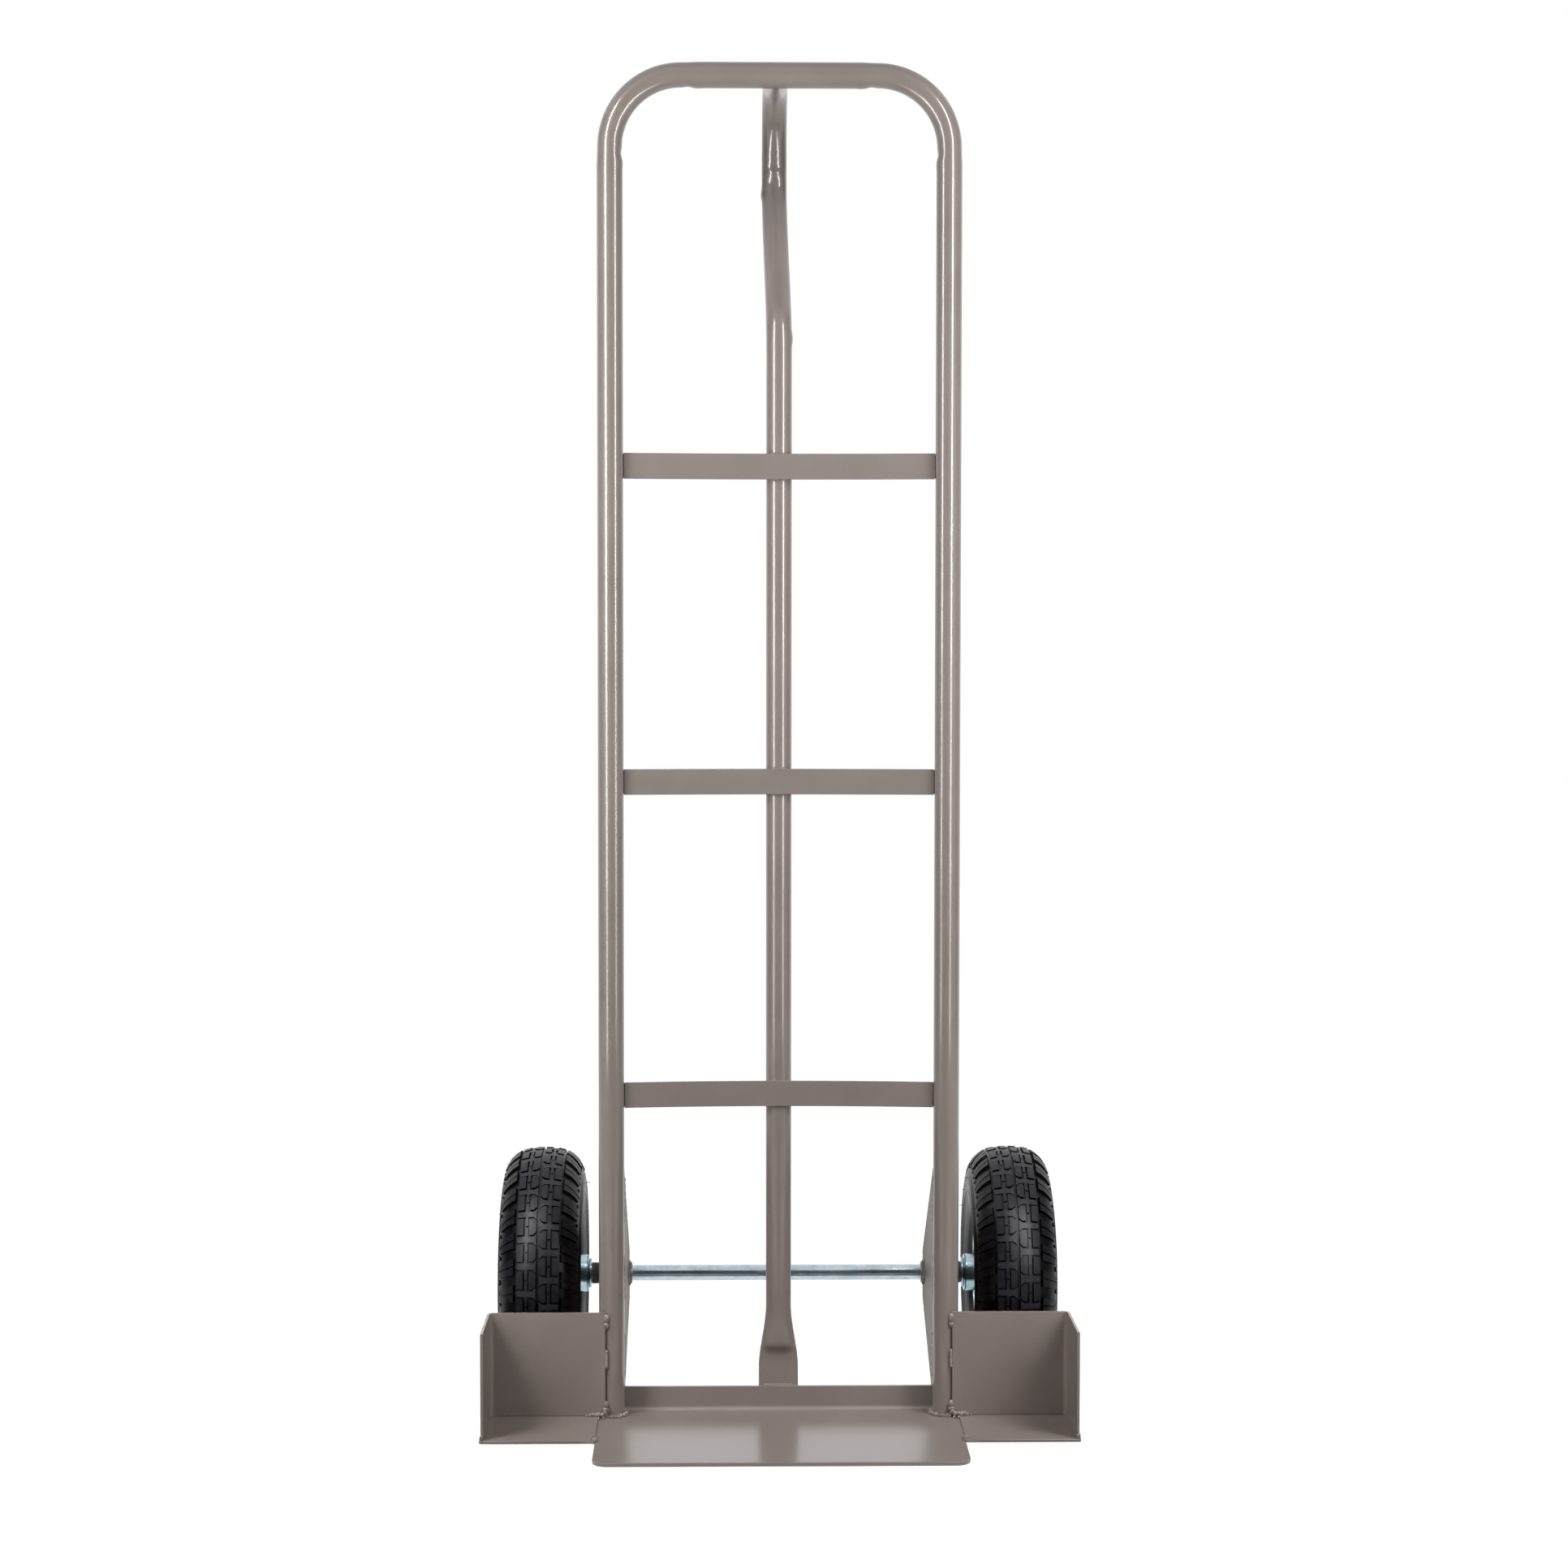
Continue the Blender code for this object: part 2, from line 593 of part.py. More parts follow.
def make_axle_fittings(side_name, side, axle_line):
    def add(name, outline, finish):
        add_turned(side_name + name, outline, side, HUB_SIDES, finish, axle_line)

    add("_axle_sleeve", collar(SLEEVE_INNER_X, SLEEVE_OUTER_X, AXLE_BORE_RADIUS,
                               SLEEVE_DIAMETER / 2), POWDER_COAT)
    add("_inboard_washer", collar(INBOARD_WASHER_X, INBOARD_WASHER_X + INBOARD_WASHER_THICKNESS,
                                  AXLE_BORE_RADIUS, INBOARD_WASHER_DIAMETER / 2), ZINC)
    add("_inboard_inner_race", collar(HUB_INNER_X, HUB_INNER_X + BEARING_WIDTH,
                                      AXLE_BORE_RADIUS, RACE_RADIUS), BRIGHT_STEEL)
    add("_hub_spacer", collar(HUB_INNER_X + BEARING_WIDTH + GAP,
                              HUB_OUTER_X - BEARING_WIDTH - GAP, AXLE_BORE_RADIUS,
                              AXLE_BORE_RADIUS + SPACER_WALL), BRIGHT_STEEL)
    add("_outboard_inner_race", collar(HUB_OUTER_X - BEARING_WIDTH, HUB_OUTER_X,
                                       AXLE_BORE_RADIUS, RACE_RADIUS), BRIGHT_STEEL)
    add("_outboard_washer", collar(OUTBOARD_WASHER_X,
                                   OUTBOARD_WASHER_X + OUTBOARD_WASHER_THICKNESS,
                                   AXLE_BORE_RADIUS, OUTBOARD_WASHER_DIAMETER / 2), ZINC)


def make_split_pin(side_name, side, axle_line):
    # One wire: a splayed leg, up through the axle, round the eye and back down
    leg_y = PIN_WIRE_SPACING / 2
    shoulder = AXLE_RADIUS + GAP
    eye_z = shoulder + PIN_EYE_RADIUS + PIN_WIRE / 2
    mouth = math.degrees(math.asin(leg_y / PIN_EYE_RADIUS))
    right_leg = [(leg_y + PIN_LEG_SPLAY, -shoulder - PIN_LEG_TAIL), (leg_y, -shoulder)]
    eye = arc((0.0, eye_z), PIN_EYE_RADIUS, -90 + mouth, 270 - mouth, PIN_EYE_STEPS)
    left_leg = [(-y, z) for y, z in right_leg[::-1]]
    wire = [(0.0, y, z) for y, z in right_leg + eye + left_leg]
    bm = sweep(round_stations(wire, PIN_WIRE / 2), Vector((1.0, 0.0, 0.0)), PIN_WIRE_SIDES)
    add_piece(side_name + "_split_pin", bm, ZINC, axle_line, (side * PIN_X, 0.0, 0.0))


def wheel_point(x, radius, turn):
    # Turn 0 is the lowest place on the wheel
    angle = math.tau * turn
    return Vector((x, radius * math.sin(angle), -radius * math.cos(angle)))


def tyre_section(angle_deg, raised_share):
    # One half of the section, as x and radius: 0 degrees is the crown, 90 the widest place
    angle = math.radians(angle_deg)
    half_width = TYRE_HALF_WIDTH - CENTRE_GROOVE / 2 + LUG_PROUD * raised_share
    crown = WHEEL_RADIUS - TREAD_DEPTH * (1 - raised_share) - SECTION_MIDDLE
    height = crown if angle_deg < 90 else SECTION_MIDDLE - BEAD_RADIUS
    x = CENTRE_GROOVE / 2 + half_width * signed_power(math.sin(angle), SECTION_POWER_SHARE)
    return x, SECTION_MIDDLE + height * signed_power(math.cos(angle), SECTION_POWER_SHARE)


def cavity_points():
    # The hollow inside one half of the tyre, from the bead's toe up to the crown
    points = [(BEAD_INNER_X, BEAD_RADIUS), (BEAD_INNER_X, BEAD_TOP)]
    for angle_deg in CAVITY_DEG:
        angle = math.radians(angle_deg)
        crown = WHEEL_RADIUS - TREAD_DEPTH - TYRE_WALL - SECTION_MIDDLE
        height = crown if angle_deg < 90 else SECTION_MIDDLE - BEAD_RADIUS
        x = (TYRE_HALF_WIDTH - TYRE_WALL) * signed_power(math.sin(angle), SECTION_POWER_SHARE)
        rise = height * signed_power(math.cos(angle), SECTION_POWER_SHARE)
        points.append((x, SECTION_MIDDLE + rise))
    return points


def add_ring(bm, section, side, turns):
    # A ring round the X axis, each point kept with its place round the turn
    x, radius = section
    return [(turn, bm.verts.new(wheel_point(x * side, radius, turn))) for turn in turns]


def even_turns(count):
    return [index / count for index in range(count)]


def zip_rings(bm, first, second):
    # Joins two rings whose points sit at different places round the turn
    i = 0
    j = 0
    while i < len(first) or j < len(second):
        here = first[i % len(first)][1]
        there = second[j % len(second)][1]
        next_first = first[(i + 1) % len(first)][0] + (i + 1) // len(first)
        next_second = second[(j + 1) % len(second)][0] + (j + 1) // len(second)
        if j == len(second) or (i < len(first) and next_first <= next_second):
            bm.faces.new((here, first[(i + 1) % len(first)][1], there))
            i += 1
        else:
            bm.faces.new((here, second[(j + 1) % len(second)][1], there))
            j += 1


def block_turns(stagger, draft):
    # Where each tread block of a row starts and ends
    turns = []
    for pitch in range(TREAD_PITCHES):
        turns.append((pitch + stagger + draft) / TREAD_PITCHES)
        turns.append((pitch + stagger + TREAD_BLOCK_SHARE - draft) / TREAD_PITCHES)
    return turns


def add_block_row(bm, limits_deg, side, stagger):
    # A row of raised blocks with drafted walls, and the groove floor between them
    base = [add_ring(bm, tyre_section(angle, 0), side, block_turns(stagger, 0))
            for angle in limits_deg]
    drafted = (limits_deg[0] + DRAFT_DEG, limits_deg[1] - DRAFT_DEG)
    crest_turns = block_turns(stagger, TREAD_DRAFT_SHARE)
    crest = [add_ring(bm, tyre_section(angle, 1), side, crest_turns) for angle in drafted]
    count = len(crest_turns)
    for start in range(0, count, 2):
        end = start + 1
        after = (start + 2) % count
        foot = [base[0][start][1], base[0][end][1], base[1][end][1], base[1][start][1]]
        head = [crest[0][start][1], crest[0][end][1], crest[1][end][1], crest[1][start][1]]
        bm.faces.new(head)
        bridge(bm, foot, head)
        bm.faces.new((foot[1], base[0][after][1], base[1][after][1], foot[2]))
    return base


def add_tyre_half(bm, side, stagger):
    # From the centre groove over the tread, down the sidewall and round the bead
    centre_row = add_block_row(bm, CENTRE_ROW_DEG, side, stagger)
    lug_row = add_block_row(bm, LUG_ROW_DEG, side, TREAD_STAGGER_SHARE - stagger)
    zip_rings(bm, centre_row[1], lug_row[0])
    outer = [tyre_section(angle, 0) for angle in SIDEWALL_DEG]
    toe, *hollow = cavity_points()
    outer += [(BEAD_OUTER_X, BEAD_TOP), (BEAD_OUTER_X, BEAD_RADIUS), toe]
    rings = [add_ring(bm, section, side, even_turns(TREAD_PITCHES)) for section in outer]
    rings += [add_ring(bm, section, side, even_turns(CAVITY_STEPS)) for section in hollow]
    zip_rings(bm, lug_row[1], rings[0])
    for first, second in zip(rings, rings[1:]):
        zip_rings(bm, first, second)
    return centre_row[0], rings[-1]


def make_tyre(side_name, side, wheel):
    bm = bmesh.new()
    inboard_groove, inboard_cavity = add_tyre_half(bm, -side, 0.0)
    outboard_groove, outboard_cavity = add_tyre_half(bm, side, TREAD_STAGGER_SHARE)
    zip_rings(bm, inboard_groove, outboard_groove)
    zip_rings(bm, inboard_cavity, outboard_cavity)
    add_piece(side_name + "_tyre", bm, TYRE_RUBBER, wheel)


def inner_tube_outline(inset):
    # The tyre's cavity, closed in by the fit and then by the inset, and lifted off the rim
    outline = []
    for index, (x, radius) in enumerate(cavity_points()):
        seat = INNER_TUBE_SEAT if index == 0 else radius
        inward = Vector((-x, SECTION_MIDDLE - seat)).normalized()
        point = Vector((x, seat)) + inward * (INNER_TUBE_FIT * (index > 0) + inset)
        outline.append((point.x - INNER_TUBE_FIT * (index == 0), point.y))
    return outline + [(-x, radius) for x, radius in outline[::-1]]


def make_inner_tube(side_name, side, wheel):
    bm = turned(inner_tube_outline(0.0), CAVITY_STEPS)
    piece = add_piece(side_name + "_inner_tube", bm, BUTYL_RUBBER, wheel)
    air = turned(inner_tube_outline(INNER_TUBE_WALL), CAVITY_STEPS)
    cut(piece, add_cutter(side_name + "_inner_tube_air", air, wheel))
    return piece


def make_rim_half(name, side, wheel):
    # A pressed disc, dished out to the bead seat and turned up into a curled flange
    half = RIM_SHEET / 2
    disc_x = GAP / 2 + half
    seat = BEAD_SEAT - half
    flange_x = RIM_HALF_WIDTH + half
    flange_top = BEAD_RADIUS + RIM_FLANGE_HEIGHT
    path = [(disc_x, RIM_HOLE_RADIUS), (disc_x, RIM_DISC_RADIUS), (RIM_DISH, seat),
            (flange_x, seat), (flange_x, flange_top - half), (flange_x + RIM_CURL, flange_top)]
    mirrored = [(x * side, radius) for x, radius in sheet_outline(path, RIM_SHEET)]
    bm = turned(mirrored, RIM_SIDES)
    turn_half_side(bm, RIM_SIDES, "X")
    return add_piece(name, bm, ZINC, wheel)


def bolt_places():
    for index in range(BOLT_COUNT):
        yield wheel_point(0.0, BOLT_CIRCLE_RADIUS, (index + BOLT_PHASE_SHARE) / BOLT_COUNT)


def rim_bolt_mesh(side):
    # Hexagon head outboard, shank through both rim halves, nut run up on the inboard side
    bm = bmesh.new()
    radius = BOLT_DIAMETER / 2
    hexagon_radius = BOLT_FLATS / 2 / math.cos(math.pi / HEX_SIDES)
    face = RIM_DISC_FACE + GAP
    hexagon = even_turns(HEX_SIDES)
    circle = even_turns(BOLT_SIDES)
    stack = [(face + BOLT_HEAD_HEIGHT, hexagon_radius, hexagon), (face, hexagon_radius, hexagon),
             (face, radius, circle), (-face, radius, circle),
             (-face, hexagon_radius, hexagon), (-face - NUT_HEIGHT, hexagon_radius, hexagon),
             (-face - NUT_HEIGHT, radius, circle), (-face - NUT_HEIGHT - BOLT_TAIL, radius, circle)]
    rings = [add_ring(bm, (x, size), side, turns) for x, size, turns in stack]
    for first, second in zip(rings, rings[1:]):
        zip_rings(bm, first, second)
    for end in (rings[0], rings[-1]):
        bm.faces.new([vert for turn, vert in end])
    return bm


def make_rim(side_name, side, wheel):
    inboard = make_rim_half(side_name + "_rim_inboard_half", -side, wheel)
    outboard = make_rim_half(side_name + "_rim_outboard_half", side, wheel)
    reach = RIM_DISC_FACE + CUT_OVERRUN
    for index, centre in enumerate(bolt_places()):
        hole = rod(BOLT_DIAMETER / 2 + GAP, -reach, reach, BOLT_SIDES)
        cutter = add_cutter(f"{side_name}_bolt_hole_{index + 1}", hole, wheel, centre)
        cut(inboard, cutter)
        cut(outboard, cutter)
        add_piece(f"{side_name}_rim_bolt_{index + 1}", rim_bolt_mesh(side), ZINC, wheel, centre)
    return outboard


def make_hub(side_name, side, wheel):
    # The tube welded through both rim halves, with a sealed bearing pressed into each end
    inner = -HUB_OFFSET
    outer = HUB_LENGTH - HUB_OFFSET
    seat = BEARING_FLANGE_THICKNESS + GAP
    add_turned(side_name + "_hub", collar(inner + seat, outer - seat, HUB_BORE_RADIUS, HUB_RADIUS),
               side, HUB_SIDES, ZINC, wheel)
    for place, face, inward in (("_inboard", inner, 1), ("_outboard", outer, -1)):
        flange = face + BEARING_FLANGE_THICKNESS * inward
        end = face + BEARING_WIDTH * inward
        bore = RACE_RADIUS + GAP
        outline = [(face, bore), (face, BEARING_RADIUS + BEARING_FLANGE_PROUD),
                   (flange, BEARING_RADIUS + BEARING_FLANGE_PROUD), (flange, BEARING_RADIUS),
                   (end, BEARING_RADIUS), (end, bore)]
        add_turned(side_name + place + "_outer_race", outline, side, HUB_SIDES, ZINC, wheel)


def make_valve(side_name, side, wheel, inner_tube, rim_half):
    # Up through the rim into the inner tube, bent outboard below the rim
    bend_x = VALVE_OFFSET + VALVE_BEND_RADIUS
    bend_z = BEAD_SEAT - RIM_SHEET - VALVE_DROP
    root = INNER_TUBE_SEAT + VALVE_ROOT
    end_x = bend_x + VALVE_TAIL
    path = [(VALVE_OFFSET, root)]
    path += arc((bend_x, bend_z), VALVE_BEND_RADIUS, 180, 270, VALVE_BEND_STEPS)
    path += [(end_x, bend_z - VALVE_BEND_RADIUS)]
    stations = round_stations([(x * side, 0.0, z) for x, z in path], VALVE_STEM_RADIUS)
    stem = sweep(stations, Vector((0.0, 1.0, 0.0)), VALVE_SIDES)
    add_piece(side_name + "_valve_stem", stem, BRASS, wheel)
    bore = VALVE_STEM_RADIUS + GAP
    hole = rod(bore, RIM_DISC_RADIUS, root + CUT_OVERRUN, VALVE_SIDES, "Z")
    cutter = add_cutter(side_name + "_valve_hole", hole, wheel, (VALVE_OFFSET * side, 0.0, 0.0))
    cut(inner_tube, cutter)
    cut(rim_half, cutter)
    mouth = end_x - VALVE_CAP_COVER
    outline = [(mouth, bore), (mouth, bore + VALVE_CAP_WALL),
               (mouth + VALVE_CAP_LENGTH, bore + VALVE_CAP_WALL), (mouth + VALVE_CAP_LENGTH, 0.0),
               (end_x + GAP, 0.0), (end_x + GAP, bore)]
    mirrored = [(x * side, radius) for x, radius in outline]
    add_piece(side_name + "_valve_cap", turned(mirrored, VALVE_SIDES), CAP_PLASTIC, wheel,
              (0.0, 0.0, bend_z - VALVE_BEND_RADIUS))


def make_wheel(side_name, side):
    wheel = add_empty(side_name + "_wheel_axis", (side * WHEEL_X, AXLE_Y, WHEEL_RADIUS))
    make_tyre(side_name, side, wheel)
    inner_tube = make_inner_tube(side_name, side, wheel)
    rim_half = make_rim(side_name, side, wheel)
    make_hub(side_name, side, wheel)
    make_valve(side_name, side, wheel, inner_tube, rim_half)


def make_frame(stance):
    make_outer_frame(stance)
    make_centre_tube(stance)
    make_straps(stance)
    make_toe_plate(stance)
    make_gussets(stance)
    for side_name, side in SIDES:
        make_wing(side_name, side, stance)


def make_axle_line(stance):
    axle_line = add_empty("axle_line", (0.0, AXLE_BACK, AXLE_HEIGHT))
    axle_line.parent = stance
    make_axle(axle_line)
    for side_name, side in SIDES:
        make_axle_fittings(side_name, side, axle_line)
        make_split_pin(side_name, side, axle_line)


def main():
    clear_scene()
    offset = Vector((0.0, TOE_EDGE_Y, 0.0))
    toe_edge = Vector((0.0, -TOE_REACH, 0.0))
    lean = Matrix.Rotation(LEAN, 3, "X")
    stance = add_empty("stance", offset - lean @ toe_edge, LEAN)
    make_frame(stance)
    make_axle_line(stance)
    for side_name, side in SIDES:
        make_wheel(side_name, side)


main()
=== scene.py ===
import math
import random

import bmesh
import bpy
from mathutils import Matrix, Vector


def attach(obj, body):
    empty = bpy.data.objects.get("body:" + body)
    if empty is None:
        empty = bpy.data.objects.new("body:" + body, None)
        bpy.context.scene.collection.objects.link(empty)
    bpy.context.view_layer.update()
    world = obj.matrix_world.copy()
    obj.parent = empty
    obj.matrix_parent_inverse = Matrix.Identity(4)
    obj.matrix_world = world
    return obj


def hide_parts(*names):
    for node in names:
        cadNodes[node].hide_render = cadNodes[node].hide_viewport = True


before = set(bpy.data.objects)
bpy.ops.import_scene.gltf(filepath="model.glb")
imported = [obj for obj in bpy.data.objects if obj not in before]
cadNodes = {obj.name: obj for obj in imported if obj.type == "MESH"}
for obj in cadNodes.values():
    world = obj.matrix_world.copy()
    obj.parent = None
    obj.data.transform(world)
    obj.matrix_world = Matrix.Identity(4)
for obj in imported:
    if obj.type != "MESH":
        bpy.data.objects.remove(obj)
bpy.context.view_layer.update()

mm = 0.001
scene = bpy.context.scene
bothSides = (("left", -1), ("right", 1))
print("frame loaded:", len(cadNodes), "nodes")

# Where the truck stands: both tyres and the toe plate's front edge on the floor
truck = {
    "toeReach": 178 * mm,       # toe plate's front edge, ahead of the rails
    "axleBack": 145 * mm,       # axle, behind the rails
    "axleHeight": 115.6 * mm,
    "toeThick": 4 * mm,
    "wheelRadius": 131 * mm,
    "wheelX": 241.8 * mm,
    "tube": 12.7 * mm,          # radius of the frame tube
    "tubeWall": 1.6 * mm,
    "railX": 166.4 * mm,
    "topBar": 1327.3 * mm,
    "bend": 70 * mm,            # every bend of the tube
    "gap": 0.3 * mm,
}
toeToAxle = truck["toeReach"] + truck["axleBack"]
axleDistance = math.hypot(toeToAxle, truck["axleHeight"])
lean = math.asin(truck["wheelRadius"] / axleDistance) - math.atan2(truck["axleHeight"], toeToAxle)
toeToWheel = math.sqrt(axleDistance ** 2 - truck["wheelRadius"] ** 2)
toeEdgeY = -(toeToWheel + truck["wheelRadius"] - truck["toeThick"] * math.sin(lean)) / 2
truckPlace = (Matrix.Translation((0, toeEdgeY, 0)) @ Matrix.Rotation(lean, 4, "X")
              @ Matrix.Translation((0, truck["toeReach"], 0)))
axlePlace = Matrix.Translation((0, toeEdgeY + toeToWheel, truck["wheelRadius"]))


def wheelPlace(side):
    return Matrix.Translation((side * truck["wheelX"], 0, 0)) @ axlePlace


# Camera: an eye 3 m off at table height, turned one degree to the right
camera = {"x": -0.049, "y": -3.046, "z": 0.644, "turn": 1.037, "drop": 0.046, "lens": 68.96}
cameraData = bpy.data.cameras.new("photoCamera")
cameraData.lens = camera["lens"]
cameraData.sensor_width = 36
cameraData.clip_end = 40
photoCamera = bpy.data.objects.new("photoCamera", cameraData)
photoCamera.location = (camera["x"], camera["y"], camera["z"])
photoCamera.rotation_euler = (math.radians(90 - camera["drop"]), 0, -math.radians(camera["turn"]))
scene.collection.objects.link(photoCamera)
scene.camera = photoCamera


# Materials
def addNode(tree, kind, links=None, values=None, **settings):
    node = tree.nodes.new(kind)
    for name, value in settings.items():
        setattr(node, name, value)
    for name, value in (values or {}).items():
        node.inputs[name].default_value = value
    for name, source in (links or {}).items():
        tree.links.new(source, node.inputs[name])
    return node


def linear(hexColour):
    channels = [int(hexColour[i:i + 2], 16) / 255 for i in (1, 3, 5)]
    return [c / 12.92 if c <= 0.04045 else ((c + 0.055) / 1.055) ** 2.4 for c in channels] + [1]


def blankMaterial(name):
    material = bpy.data.materials.new(name)
    material.use_nodes = True
    material.node_tree.nodes.clear()
    return material, material.node_tree


def finishMaterial(tree, colour, dull, relief, strength, depth, sockets):
    # What every material ends with: its relief, the shader and the output
    bump = addNode(tree, "ShaderNodeBump", {"Height": relief.outputs["Fac"]},
                   {"Strength": strength, "Distance": depth})
    shader = addNode(tree, "ShaderNodeBsdfPrincipled",
                     {"Base Color": colour.outputs[2], "Roughness": dull.outputs["Result"],
                      "Normal": bump.outputs["Normal"]}, sockets)
    addNode(tree, "ShaderNodeOutputMaterial", {"Surface": shader.outputs["BSDF"]})


def makePowderCoat(name, peelDepth, speckDark, gloss, index, glossRoughness=0.11):
    # Polyester powder sprayed on steel and baked: an even warm grey with a fine orange peel
    # that breaks up the edges of its highlights, dull under a thin clear gloss
    coat = {
        "colour": "#8B817B", "shade": "#7E746E", "speck": "#5F5651",
        "peel": 1.3 * mm,       # width of one dimple of the orange peel
        "cloud": 45 * mm,       # slow drift of the sprayed thickness
        "grain": 0.45 * mm,     # pigment grain, drawn coarser than the real 0.05 mm so it shows
        "fleckFrom": 0.62, "fleckTo": 0.8,      # only the grain's peaks show as specks
        "roughness": 0.45, "specular": 0.22, "glossIndex": 1.5,
    }
    material, tree = blankMaterial(name)
    place = addNode(tree, "ShaderNodeTexCoord").outputs["Object"]
    cloud = addNode(tree, "ShaderNodeTexNoise", {"Vector": place},
                    {"Scale": 1 / coat["cloud"], "Detail": 3.0})
    tone = addNode(tree, "ShaderNodeMix", {"Factor": cloud.outputs["Fac"]},
                   {6: linear(coat["shade"]), 7: linear(coat["colour"])}, data_type="RGBA")
    grain = addNode(tree, "ShaderNodeTexNoise", {"Vector": place},
                    {"Scale": 1 / coat["grain"], "Detail": 2.0})
    fleck = addNode(tree, "ShaderNodeMapRange", {"Value": grain.outputs["Fac"]},
                    {"From Min": coat["fleckFrom"], "From Max": coat["fleckTo"],
                     "To Max": speckDark})
    colour = addNode(tree, "ShaderNodeMix",
                     {"Factor": fleck.outputs["Result"], 6: tone.outputs[2]},
                     {7: linear(coat["speck"])}, data_type="RGBA")
    peel = addNode(tree, "ShaderNodeTexNoise", {"Vector": place},
                   {"Scale": 1 / coat["peel"], "Detail": 1.5, "Roughness": 0.4})
    dull = addNode(tree, "ShaderNodeMapRange", {"Value": cloud.outputs["Fac"]},
                   {"To Min": coat["roughness"] - 0.05, "To Max": coat["roughness"] + 0.07})
    finishMaterial(tree, colour, dull, peel, 0.5, peelDepth,
                   {"IOR": index, "Specular IOR Level": coat["specular"], "Coat Weight": gloss,
                    "Coat Roughness": glossRoughness, "Coat IOR": coat["glossIndex"]})
    return material


def makeZincPlate(name, colour, tint, lineAxis):
    # Electroplated zinc, blue passivated: a cool bright metal with drawn lines along the bar
    # or turned lines round a disc, and a faint blue and straw drift in the passivation
    zinc = {"line": 0.35 * mm, "lineLength": 60, "lineDepth": 0.04 * mm, "drift": 12 * mm,
            "roughness": 0.2}
    material, tree = blankMaterial(name)
    place = addNode(tree, "ShaderNodeTexCoord").outputs["Object"]
    stretch = [1 / zinc["line"]] * 3
    stretch["XYZ".index(lineAxis)] /= zinc["lineLength"]
    squeezed = addNode(tree, "ShaderNodeMapping", {"Vector": place}, {"Scale": stretch})
    lines = addNode(tree, "ShaderNodeTexNoise", {"Vector": squeezed.outputs["Vector"]},
                    {"Scale": 1.0, "Detail": 3.0})
    drift = addNode(tree, "ShaderNodeTexNoise", {"Vector": place},
                    {"Scale": 1 / zinc["drift"], "Detail": 2.0})
    spread = addNode(tree, "ShaderNodeMapRange", {"Value": drift.outputs["Fac"]},
                     {"From Min": 0.35, "From Max": 0.7})
    tone = addNode(tree, "ShaderNodeMix", {"Factor": spread.outputs["Result"]},
                   {6: linear(colour), 7: linear(tint)}, data_type="RGBA")
    dull = addNode(tree, "ShaderNodeMapRange", {"Value": lines.outputs["Fac"]},
                   {"To Min": zinc["roughness"] - 0.08, "To Max": zinc["roughness"] + 0.12})
    finishMaterial(tree, tone, dull, lines, 0.35, zinc["lineDepth"], {"Metallic": 1.0})
    return material


def makeTyreRubber(name):
    # Carbon black rubber, moulded, with the slight waxy shine of new rubber. Its tone is painted
    # light:
    # painted shade keeps the grooves nearly black, and painted highlight greys the block tops and
    # is palest on the tie bands
    rubber = {"colour": "#050506", "paintedLit": "#2E2C33", "grain": 0.9 * mm, "grainDepth": 0.08 * mm,
              "dust": 7 * mm, "roughness": 0.34, "index": 1.52, "specular": 0.24}
    material, tree = blankMaterial(name)
    place = addNode(tree, "ShaderNodeTexCoord").outputs["Object"]
    tread = addNode(tree, "ShaderNodeAttribute", attribute_name="tread")
    dust = addNode(tree, "ShaderNodeTexNoise", {"Vector": place},
                   {"Scale": 1 / rubber["dust"], "Detail": 4.0, "Roughness": 0.6})
    patch = addNode(tree, "ShaderNodeMapRange", {"Value": dust.outputs["Fac"]},
                    {"From Min": 0.3, "From Max": 0.7, "To Min": 0.55})
    # painted light: the face's painted tone, varied at random in patches
    paintedLit = addNode(tree, "ShaderNodeMath", {0: tread.outputs["Fac"], 1: patch.outputs["Result"]},
                   operation="MULTIPLY")
    tone = addNode(tree, "ShaderNodeMix", {"Factor": paintedLit.outputs["Value"]},
                   {6: linear(rubber["colour"]), 7: linear(rubber["paintedLit"])}, data_type="RGBA")
    grain = addNode(tree, "ShaderNodeTexNoise", {"Vector": place},
                    {"Scale": 1 / rubber["grain"], "Detail": 3.0})
    dull = addNode(tree, "ShaderNodeMapRange", {"Value": dust.outputs["Fac"]},
                   {"To Min": rubber["roughness"] - 0.1, "To Max": rubber["roughness"] + 0.12})
    finishMaterial(tree, tone, dull, grain, 0.5, rubber["grainDepth"],
                   {"IOR": rubber["index"], "Specular IOR Level": rubber["specular"]})
    return material


def makePlainMoulded(name, colour, other, roughness, grainSize, metallic=0.0):
    # A moulded, ground or turned surface with a fine grain and a slow change of tone
    material, tree = blankMaterial(name)
    place = addNode(tree, "ShaderNodeTexCoord").outputs["Object"]
    grain = addNode(tree, "ShaderNodeTexNoise", {"Vector": place},
                    {"Scale": 1 / grainSize, "Detail": 3.0})
    tone = addNode(tree, "ShaderNodeMix", {"Factor": grain.outputs["Fac"]},
                   {6: linear(colour), 7: linear(other)}, data_type="RGBA")
    dull = addNode(tree, "ShaderNodeMapRange", {"Value": grain.outputs["Fac"]},
                   {"To Min": roughness - 0.06, "To Max": roughness + 0.08})
    finishMaterial(tree, tone, dull, grain, 0.4, grainSize / 12, {"Metallic": metallic})
    return material
